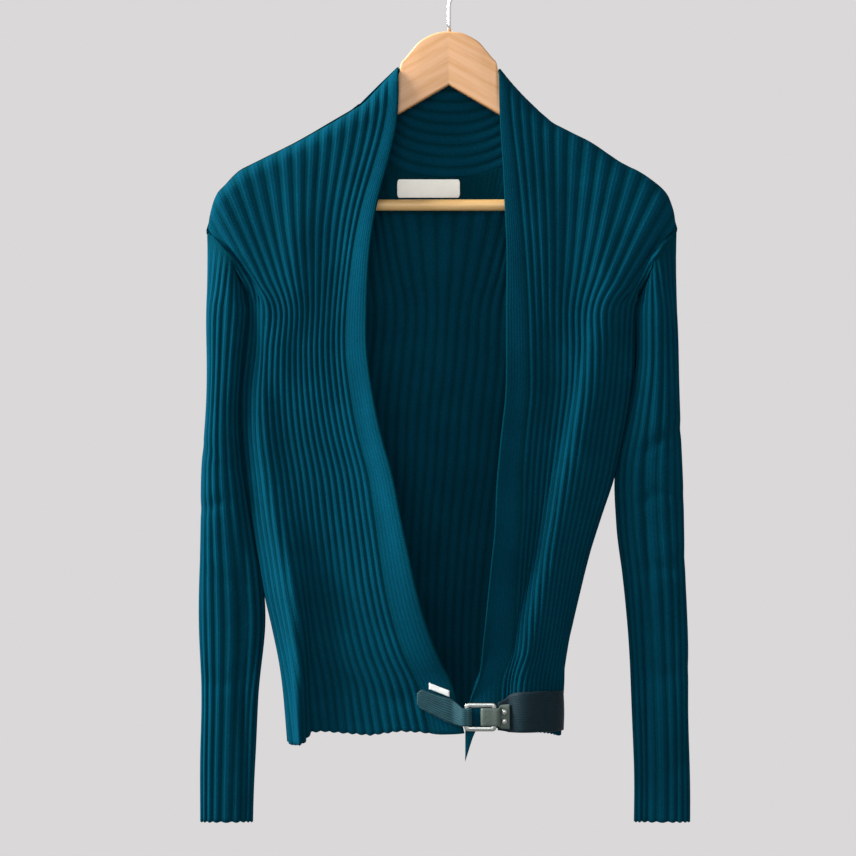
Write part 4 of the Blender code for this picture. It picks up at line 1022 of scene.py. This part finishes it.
def panel_at(grid, x, drop):
    """Depth and slope of a panel's plain inner face at each x and drop: each column is read at
    the drop, then the depth between columns, and the slope is its change over 4 mm."""
    x, drop = np.broadcast_arrays(x, drop)
    depth = np.zeros(x.shape)
    slope = np.zeros(x.shape)
    for place in np.unique(np.round(drop, 2)):
        xs, ys = [], []
        held = min(place, PANEL_FOOT)
        for column in range(grid.shape[1]):
            z = -grid[:, column, 2]
            if z[0] <= held <= z[-1]:
                xs.append(np.interp(held, z, grid[:, column, 0]))
                ys.append(np.interp(held, z, grid[:, column, 1]))
        order = np.argsort(xs)
        xs, ys = np.array(xs)[order], np.array(ys)[order]
        here = np.abs(drop - place) < 0.006
        depth[here] = np.interp(x[here], xs, ys)
        slope[here] = (np.interp(x[here] + 2, xs, ys) - np.interp(x[here] - 2, xs, ys)) / 4
    return depth, slope


def over_panel(grid, x, drop, lift):
    """Points over a panel's inner face, moved toward the viewer along its level normal."""
    depth, slope = panel_at(grid, x, drop)
    size = np.sqrt(slope ** 2 + 1)
    return np.stack([x + lift * slope / size, depth - lift / size, -np.asarray(drop) + 0 * x], -1)


def plate(name, node, inner, outer, material, rim):
    """Closed strip between two grids, with rounded edges and its own coordinates in millimetres."""
    along_it = np.broadcast_to(lengths(outer[:, 0])[:, None], outer.shape[:2])
    across_it = np.broadcast_to(lengths(outer[0])[None], outer.shape[:2])
    knit = np.stack([along_it, across_it], -1)
    level = np.zeros(outer.shape[:2])
    return placed(shell(name, outer, inner, material, knit, level, level, (rim,) * 4), node)


LABEL_X = (-49.4, 10.5)
LABEL_DROPS = (220.0, 237.5)
label_middle = (sum(LABEL_X) / 2, sum(LABEL_DROPS) / 2)
label_half = ((LABEL_X[1] - LABEL_X[0]) / 2, (LABEL_DROPS[1] - LABEL_DROPS[0]) / 2)
xs = np.linspace(*LABEL_X, 49)[:, None]
drops = np.linspace(*LABEL_DROPS, 19)[None]
off_x = xs - label_middle[0]
# Soft corners: the ends draw in near the two long edges
pull = 1.6 * np.abs((drops - label_middle[1]) / label_half[1]) ** 8
corner_x = xs + pull * np.abs(off_x / label_half[0]) ** 14 * -np.sign(off_x)
ripple = 0.35 * np.sin(xs / 7.5) + 0.25 * np.sin(drops / 4 + xs / 17)
label_back, label_face = (over_panel(back_points, corner_x, drops + 0 * xs, 1.8 + ripple + more)
                          for more in (0, 0.35))
neck_label = plate("neck_label_satin", "neck_label", label_back, label_face, label_cloth, 0.05)

# The strap fastening. A wide woven band comes from the side seam of the left front, ends in a
# narrow leather tab round the ring, and a narrow strap from the right front passes through it.
# The webbing is petrol polyester, ribbed across by its weft, with an edge that shines a little.
OVER = WALL + RIB + 0.75      # from a panel's inner face to a strap, clear of the rib crests
STRAP_THICK = 1.8
TAB = (722.6, 739.0)          # upper and lower edge of a strap where it turns round the ring
LOOP_FRONT = -38.0            # depth of a strap's inner face in front of the ring's bar
LOOP_BEHIND = -34.2           # and behind it
STRAP_RIGHT = ((-30, 708.5, 718.5), (-26, 705.5, 723), (-20, 707.5, 726), (-14, 709.5, 729),
               (-8, 711.8, 732), (-2, 713.2, 735), (4, 715.5, 737))
STRAP_LEFT = ((46, 717.5, 743), (52, 714.5, 744), (58, 711, 745), (64, 708.5, 745), (69, 707.5, 745),
              (75, 707.5, 745), (82, 707.5, 745), (90, 707.5, 745), (97, 707.8, 745),
              (101, 708, 745), (104, 708.2, 745))


def webbing_of(name, dark, light, sheen):
    """Woven band: fine weft lines across it every 1.1 mm and a looser tone along it."""
    material, tree, shader = finish_of(name, light, Roughness=0.62, Sheen_Weight=sheen,
                                       Sheen_Roughness=0.4, Specular_IOR_Level=0.12)
    flat = add(tree, "ShaderNodeUVMap", {"uv_map": "knit"}).outputs["UV"]
    weft = waves(tree, flat, "Y", 0.29, 0.5, 1.0)
    warp = waves(tree, flat, "X", 0.36, 0.4, 1.0)
    bumped(tree, shader, maths(tree, "MULTIPLY_ADD", warp, 0.5, weft), 0.3, 0.0003)
    worn = maths(tree, "MULTIPLY", noise(tree, place_of(tree), 160.0, 3.0), weft)
    coloured(tree, shader, toned(tree, worn, dark, light, (0.0, 0.6)))
    return material


webbing = webbing_of("petrol_webbing", "#02141B", "#06222B", 0.05)
narrow_webbing = webbing_of("grey_petrol_webbing", "#0F2A31", "#224A53", 0.08)


def laid_band(node, grid, table, material, steps):
    """A band that lies on a front, made from the front's own points and moved out over its ribs.
    Its edges are read smoothly from the table, and its back is STRAP_THICK under its face."""
    x = np.linspace(table[0][0], table[-1][0], steps)
    upper, lower = smooth(table, x, 1), smooth(table, x, 2)
    share = np.linspace(0, 1, 15)
    drop = np.round(upper[:, None] + share * (lower - upper)[:, None], 2)
    crown = 0.5 * np.sin(np.pi * share)[None] + 0.25 * np.sin(x / 5.5)[:, None]
    wide = x[:, None] + 0 * drop
    low_points = over_panel(grid, wide, drop, OVER + 0 * drop)
    high_points = over_panel(grid, wide, drop, OVER + STRAP_THICK + crown)
    return plate(node + "_webbing", node, low_points, high_points, material, 0.5)


wide_strap = laid_band("strap_left", left_grid, STRAP_LEFT, webbing, 60)


def looped(node, stations, turn_x, end_x, material):
    """A strap that passes over the ring's bar, turns round it and ends behind it: its path in x
    and depth is read smoothly, and its width is spread across each step of it."""
    s = 1 if turn_x > stations[-1][0] else -1
    path = [(x, y) for x, y, upper, lower in stations]
    widths = [(upper, lower) for x, y, upper, lower in stations]
    half = (LOOP_FRONT + LOOP_BEHIND) / 2
    path += [(turn_x - s * 1.2, LOOP_FRONT), (turn_x - s * 0.3, LOOP_FRONT + 0.25 * (half - LOOP_FRONT)),
             (turn_x, half), (turn_x - s * 0.3, LOOP_BEHIND - 0.25 * (LOOP_BEHIND - half)),
             (turn_x - s * 1.2, LOOP_BEHIND), (end_x, LOOP_BEHIND)]
    widths += [TAB] * 6
    at = np.linspace(0, len(path) - 1, 8 * len(path))
    path = finer(np.array(path, float), at)
    widths = finer(np.array(widths, float), at)
    run = unit(np.gradient(path, axis=0))
    out = np.stack([run[:, 1], -run[:, 0]], -1) * s
    share = np.linspace(0, 1, 11)
    drop = widths[:, :1] + share * (widths[:, 1:] - widths[:, :1])
    crown = 0.3 * np.sin(np.pi * share)
    inner = np.stack([path[:, :1] + 0 * drop, path[:, 1:] + 0 * drop, -drop], -1)
    away = (STRAP_THICK + crown)[None, :, None] * out[:, None]
    outer = inner + np.concatenate([away, np.zeros_like(away[..., :1])], -1)
    return plate(node + "_loop", node, inner, outer, material, 0.4)


laid_x = np.array([row[0] for row in STRAP_RIGHT], float)
laid_middle = np.round([(row[1] + row[2]) / 2 for row in STRAP_RIGHT], 2)
laid_depth = over_panel(right_grid, laid_x, laid_middle, OVER + 0 * laid_x)[:, 1]
stations = [(row[0], y, row[1], row[2]) for row, y in zip(STRAP_RIGHT, laid_depth)]
stations += [(9, -35.6, 719, 738.5), (13.2, LOOP_FRONT, *TAB), (16.5, LOOP_FRONT, *TAB)]
narrow_strap = looped("strap_right", stations, 19.5, 14.8, narrow_webbing)

# The tab is split leather with a matt grain, folded round the ring's bar and riveted.
tab_leather, tree, shader = finish_of("grey_green_leather", "#22302C", Roughness=0.58,
                                      Specular_IOR_Level=0.4)
place = place_of(tree)
grain = add(tree, "ShaderNodeTexVoronoi", Vector=place, Scale=1100.0).outputs["Distance"]
wrinkle = noise(tree, place, 420.0, 4.0)
bumped(tree, shader, maths(tree, "ADD", grain, wrinkle), 0.35, 0.0004)
coloured(tree, shader, toned(tree, wrinkle, "#26332F", "#47564F"))
tab_stations = [(57, -34.6, 719, 742), (48.4, -34.6, 720, 741), (45.9, LOOP_FRONT, *TAB),
                (40, LOOP_FRONT, *TAB)]
tab = looped("strap_tab", tab_stations, 31.5, 45.3, tab_leather)

# The ring, cast zinc alloy with bright nickel plating, a flat rectangle with rounded corners and
# soft edges. The two rivets are nickelled domes of the same finish.
nickel, tree, shader = finish_of("bright_nickel_plate", "#8E9390", Metallic=1.0, Roughness=0.26)
scuffs = noise(tree, place_of(tree), 380.0, 5.0)
tree.links.new(spread(tree, scuffs, 0.35, 0.7, 0.14, 0.34), shader.inputs["Roughness"])
bumped(tree, shader, scuffs, 0.08, 0.0002)
RING_CENTRE = (29.5, 730.8)
RING_SIZE = (30.4, 27.0)
RING_BAR = 4.6
RING_THICK = 3.0
RING_FRONT = -37.6
RING_INSIDE = 1.2             # radius of a corner inside
RING_OUTSIDE = 4.0            # radius of a corner outside
RIVET_X = 52.3
RIVET_FOOT = -36.8


def corner_turns(around):
    """Number of the corner and angle of each point round a rectangle with rounded corners."""
    corner = np.repeat(np.arange(4), around)
    return corner, np.radians(90 * corner + np.tile(np.linspace(0, 90, around), 4))


def ring_points(around, profile):
    """Rounded rectangle carried round its corners: each corner is a quarter turn of a radius that
    grows from inside to outside, and the profile is a flat oval of share and depth."""
    corner, turn = corner_turns(around)
    sx = np.array([1, -1, -1, 1])[corner]
    sd = np.array([-1, -1, 1, 1])[corner]
    angle = full_circle(profile)
    share = 0.5 + 0.5 * squarer(np.cos(angle), 0.45)
    deep = 0.5 + 0.5 * squarer(np.sin(angle), 0.6)
    radius = RING_INSIDE + share * (RING_OUTSIDE - RING_INSIDE)
    half_x = RING_SIZE[0] / 2 - RING_BAR * (1 - share) - radius
    half_d = RING_SIZE[1] / 2 - RING_BAR * (1 - share) - radius
    x = RING_CENTRE[0] + sx[:, None] * half_x + radius * np.cos(turn)[:, None]
    drop = RING_CENTRE[1] + sd[:, None] * half_d - radius * np.sin(turn)[:, None]
    return np.stack([x, np.broadcast_to(RING_FRONT + RING_THICK * deep, x.shape), -drop], -1)


def tube(name, node, grid, material, ends=True):
    """Closed body from rings of points. Each end closes at a point in its middle, or where there
    are no ends the last ring joins the first."""
    sides = grid.shape[1]
    if ends:
        first, last = grid[:1].mean(1, keepdims=True), grid[-1:].mean(1, keepdims=True)
        grid = np.concatenate([first + 0 * grid[:1], grid, last + 0 * grid[-1:]])
    index = np.arange(grid.shape[0] * sides).reshape(-1, sides)
    index = np.concatenate([index, index[:, :1]], axis=1)
    if not ends:
        index = np.concatenate([index, index[:1]])
    piece = put_mesh(name, grid.reshape(-1, 3), quads(index), material)
    merge(piece)
    return placed(piece, node)


def merge(piece):
    """Join the points that meet at the middle of an end."""
    edit = bmesh.new()
    edit.from_mesh(piece.data)
    bmesh.ops.remove_doubles(edit, verts=edit.verts, dist=1e-7)
    bmesh.ops.dissolve_degenerate(edit, dist=1e-8, edges=edit.edges)
    edit.to_mesh(piece.data)
    edit.free()


tube("buckle_ring_nickel", "buckle_ring", ring_points(12, 24), nickel, ends=False)


def dome(node, drop, radius, height):
    """A rivet's dome: rings whose radius is the cosine, and whose height is the sine, of the way
    from the rim to the top, over a short straight foot."""
    way_up = np.linspace(0.15, 1.5, 10)
    lift = np.concatenate([[0, 0.25], 0.25 + (height - 0.25) * np.sin(way_up)])
    wide = np.concatenate([[1, 1], np.cos(way_up) ** 0.8]) * radius
    turn = full_circle(32)
    points = np.stack([RIVET_X + wide[:, None] * np.cos(turn), RIVET_FOOT - lift[:, None] + 0 * turn,
                       -drop + wide[:, None] * np.sin(turn)], -1)
    tube(node + "_nickel", node, points, nickel)


dome("rivet_upper", 726.0, 3.0, 1.8)
dome("rivet_lower", 734.8, 3.0, 1.8)

# The small bar beside the narrow strap, a blank moulded plastic tag with a pale satin face.
tag_plastic, tree, shader = finish_of("pale_moulded_plastic", "#AEB6B8", Roughness=0.36)
mottle = noise(tree, place_of(tree), 240.0, 2.0)
coloured(tree, shader, toned(tree, mottle, "#B4BAB9", "#D6DAD9"))
bumped(tree, shader, mottle, 0.1, 0.0002)
TAG_LENGTH = 18.5
TAG_WIDTH = 5.2
share = np.linspace(0, 1, 25)[:, None]
across = np.linspace(0, TAG_WIDTH, 9)[None]
tag_x = -TAG_LENGTH + TAG_LENGTH * share + 0 * across
tag_drop = np.round(699.2 + 7.2 * share + across, 2)
tag_crown = 0.35 * np.sin(np.pi * share) ** 0.3 * np.sin(np.pi * across / TAG_WIDTH) ** 0.5
tag_back, tag_face = (over_panel(right_grid, tag_x, tag_drop, WALL + RIB + more)
                      for more in (0.1 + 0 * tag_x, 1.5 + tag_crown))
plate("strap_tag_bar", "strap_tag", tag_back, tag_face, tag_plastic, 0.5)

# The hanger, two flat arms of pale beech joined at the neck, planed, with eased edges and a thin
# clear lacquer. The grain follows each arm down from the neck. A round bar of the same wood,
# a little paler, joins the arms under them.
WOOD_HALF = 6.0
WOOD_EASE = 2.2
LEAN = 0.042                  # the arms lie a little lower on the viewer's right
BAR_RADIUS = 5.4
BAR_DROP = 245.3
BAR_END = 188.4
# Half of the flat wood: distance from the middle, drop of its top, drop of its underside
WOOD = ((0, 80, 131), (6, 80.3, 134.5), (13, 81.7, 138.5), (21, 85.2, 143.2), (28.5, 90, 147.5),
        (36, 98.5, 151.8), (42, 105.8, 155.3), (45.5, 109.8, 157.4), (47, 118, 158.2),
        (54, 128, 162), (60, 136, 165.3), (73, 153, 172.6), (86, 165.5, 181.5), (115, 180, 197.5),
        (150, 198.5, 216), (185, 217.5, 233), (188.8, 219.5, 233.5), (191, 221, 251),
        (196, 226, 256), (201, 234, 252), (203, 241, 247))


def beech_of(name, pale, line, fall):
    """Beech: long streaks that follow the grain, short dark flecks in them, and a soft change of
    tone. The streaks read height plus fall times |x|, so they drop by the fall for each step out."""
    material, tree, shader = finish_of(name, pale, Roughness=0.42, Specular_IOR_Level=0.45,
                                       Coat_Weight=0.15, Coat_Roughness=0.3)
    parts = add(tree, "ShaderNodeSeparateXYZ", Vector=place_of(tree))
    x, y, z = (parts.outputs[axis] for axis in "XYZ")
    height = maths(tree, "MULTIPLY_ADD", maths(tree, "ABSOLUTE", x), fall, z)
    along_grain = add(tree, "ShaderNodeCombineXYZ", X=maths(tree, "MULTIPLY", x, 0.09), Y=y,
                      Z=height).outputs[0]
    streaks = noise(tree, along_grain, 260.0, 4.0, Roughness=0.6)
    rings = waves(tree, along_grain, "Z", 26.0, 5.0, 2.0)
    both = maths(tree, "MULTIPLY_ADD", rings, 0.18, streaks)
    coloured(tree, shader, toned(tree, both, line, pale, (0.38, 0.72)))
    bumped(tree, shader, streaks, 0.12, 0.0003)
    return material


def arm_sections(steps, around):
    """Sections of the flat wood from tip to tip: a rectangle between the top and underside read
    smoothly from the table, its corners rounded by an arc."""
    half = np.unique(np.concatenate([np.linspace(0, 60, steps), np.linspace(60, WOOD[-1][0], steps)]))
    x = np.concatenate([-half[:0:-1], half])
    top, low = smooth(WOOD, np.abs(x), 1), smooth(WOOD, np.abs(x), 2)
    fall = LEAN * np.sign(x) * np.maximum(np.abs(x) - 45, 0)
    ease = np.minimum(WOOD_EASE, 0.3 * (low - top))[:, None]
    corner, turn = corner_turns(around)
    side = np.array([1, -1, -1, 1])[corner]
    up = np.array([1, 1, -1, -1])[corner]
    y = side * (WOOD_HALF - ease) + ease * np.cos(turn)
    centre = np.where(up > 0, top[:, None] + ease, low[:, None] - ease)
    drop = centre - ease * np.sin(turn) + fall[:, None]
    return np.stack([np.broadcast_to(x[:, None], y.shape), y, -drop], -1)


beech = beech_of("lacquered_beech", "#B38860", "#A77948", 0.55)
pale_beech = beech_of("pale_beech", "#C09E69", "#B28A51", 0.0)
tube("hanger_body_beech", "hanger_body", arm_sections(60, 7), beech)
turn = full_circle(40)
x = np.concatenate([[-BAR_END, -BAR_END + 0.4], np.linspace(-BAR_END + 1, BAR_END - 1, 60),
                    [BAR_END - 0.4, BAR_END]])
wide = BAR_RADIUS + 0.06 * np.sin(x / 37)
wide[[0, -1]] -= 0.4
bar = np.stack([x[:, None] + 0 * turn, wide[:, None] * np.cos(turn),
                -BAR_DROP + wide[:, None] * np.sin(turn)], -1)
tube("hanger_bar_beech", "hanger_bar", bar, pale_beech)

# The hook, drawn steel wire of 4 mm, chrome plated and screwed into the neck, bent round to hang.
HOOK_WIRE = 2.0               # radius of the wire
HOOK_BEND = 22.0              # radius of the bend's middle line
HOOK_CENTRE = -20
HOOK_FOOT = -56.0             # height where the straight part ends
HOOK_FROM = -40               # degrees where the bend starts
HOOK_TO = 195                 # and ends
chrome, tree, shader = finish_of("chromed_wire", "#D3D4D3", Metallic=1.0, Roughness=0.12)
drawn = noise(tree, place_of(tree), 500.0, 3.0)
tree.links.new(spread(tree, drawn, 0.3, 0.7, 0.08, 0.22), shader.inputs["Roughness"])
bumped(tree, shader, drawn, 0.05, 0.0002)


def hook_path():
    """Line of the wire in x and height: up from the wood, a cubic over to the bend's start, then
    the bend as part of a circle."""
    turn = np.radians(HOOK_FROM)
    start = np.array([0.0, HOOK_FOOT])
    end = np.array([HOOK_BEND * np.cos(turn), HOOK_CENTRE + HOOK_BEND * np.sin(turn)])
    pull_start = start + (0, 11)
    pull_end = end - 11 * np.array([-np.sin(turn), np.cos(turn)])
    t = np.linspace(0, 1, 16)[1:, None]
    swing = ((1 - t) ** 3 * start + 3 * (1 - t) ** 2 * t * pull_start + 3 * (1 - t) * t * t * pull_end
             + t ** 3 * end)
    turns = np.radians(np.linspace(HOOK_FROM, HOOK_TO, 80))[1:]
    bend = np.stack([HOOK_BEND * np.cos(turns), HOOK_CENTRE + HOOK_BEND * np.sin(turns)], -1)
    return np.concatenate([[(0, -79.7), (0, -72), (0, -64), (0, HOOK_FOOT)], swing, bend])


path = hook_path()
run = unit(np.gradient(path, axis=0))
aside = np.stack([-run[:, 1], run[:, 0]], -1)
wide = np.full(len(path), HOOK_WIRE)
wide[-3:] = (1.9, 1.6, 1.0)
circle = full_circle(24)
out = wide[:, None] * np.cos(circle)
wire = np.stack([path[:, :1] + out * aside[:, :1], wide[:, None] * np.sin(circle),
                 path[:, 1:] + out * aside[:, 1:]], -1)
tube("hanger_hook_chrome", "hanger_hook", wire, chrome)
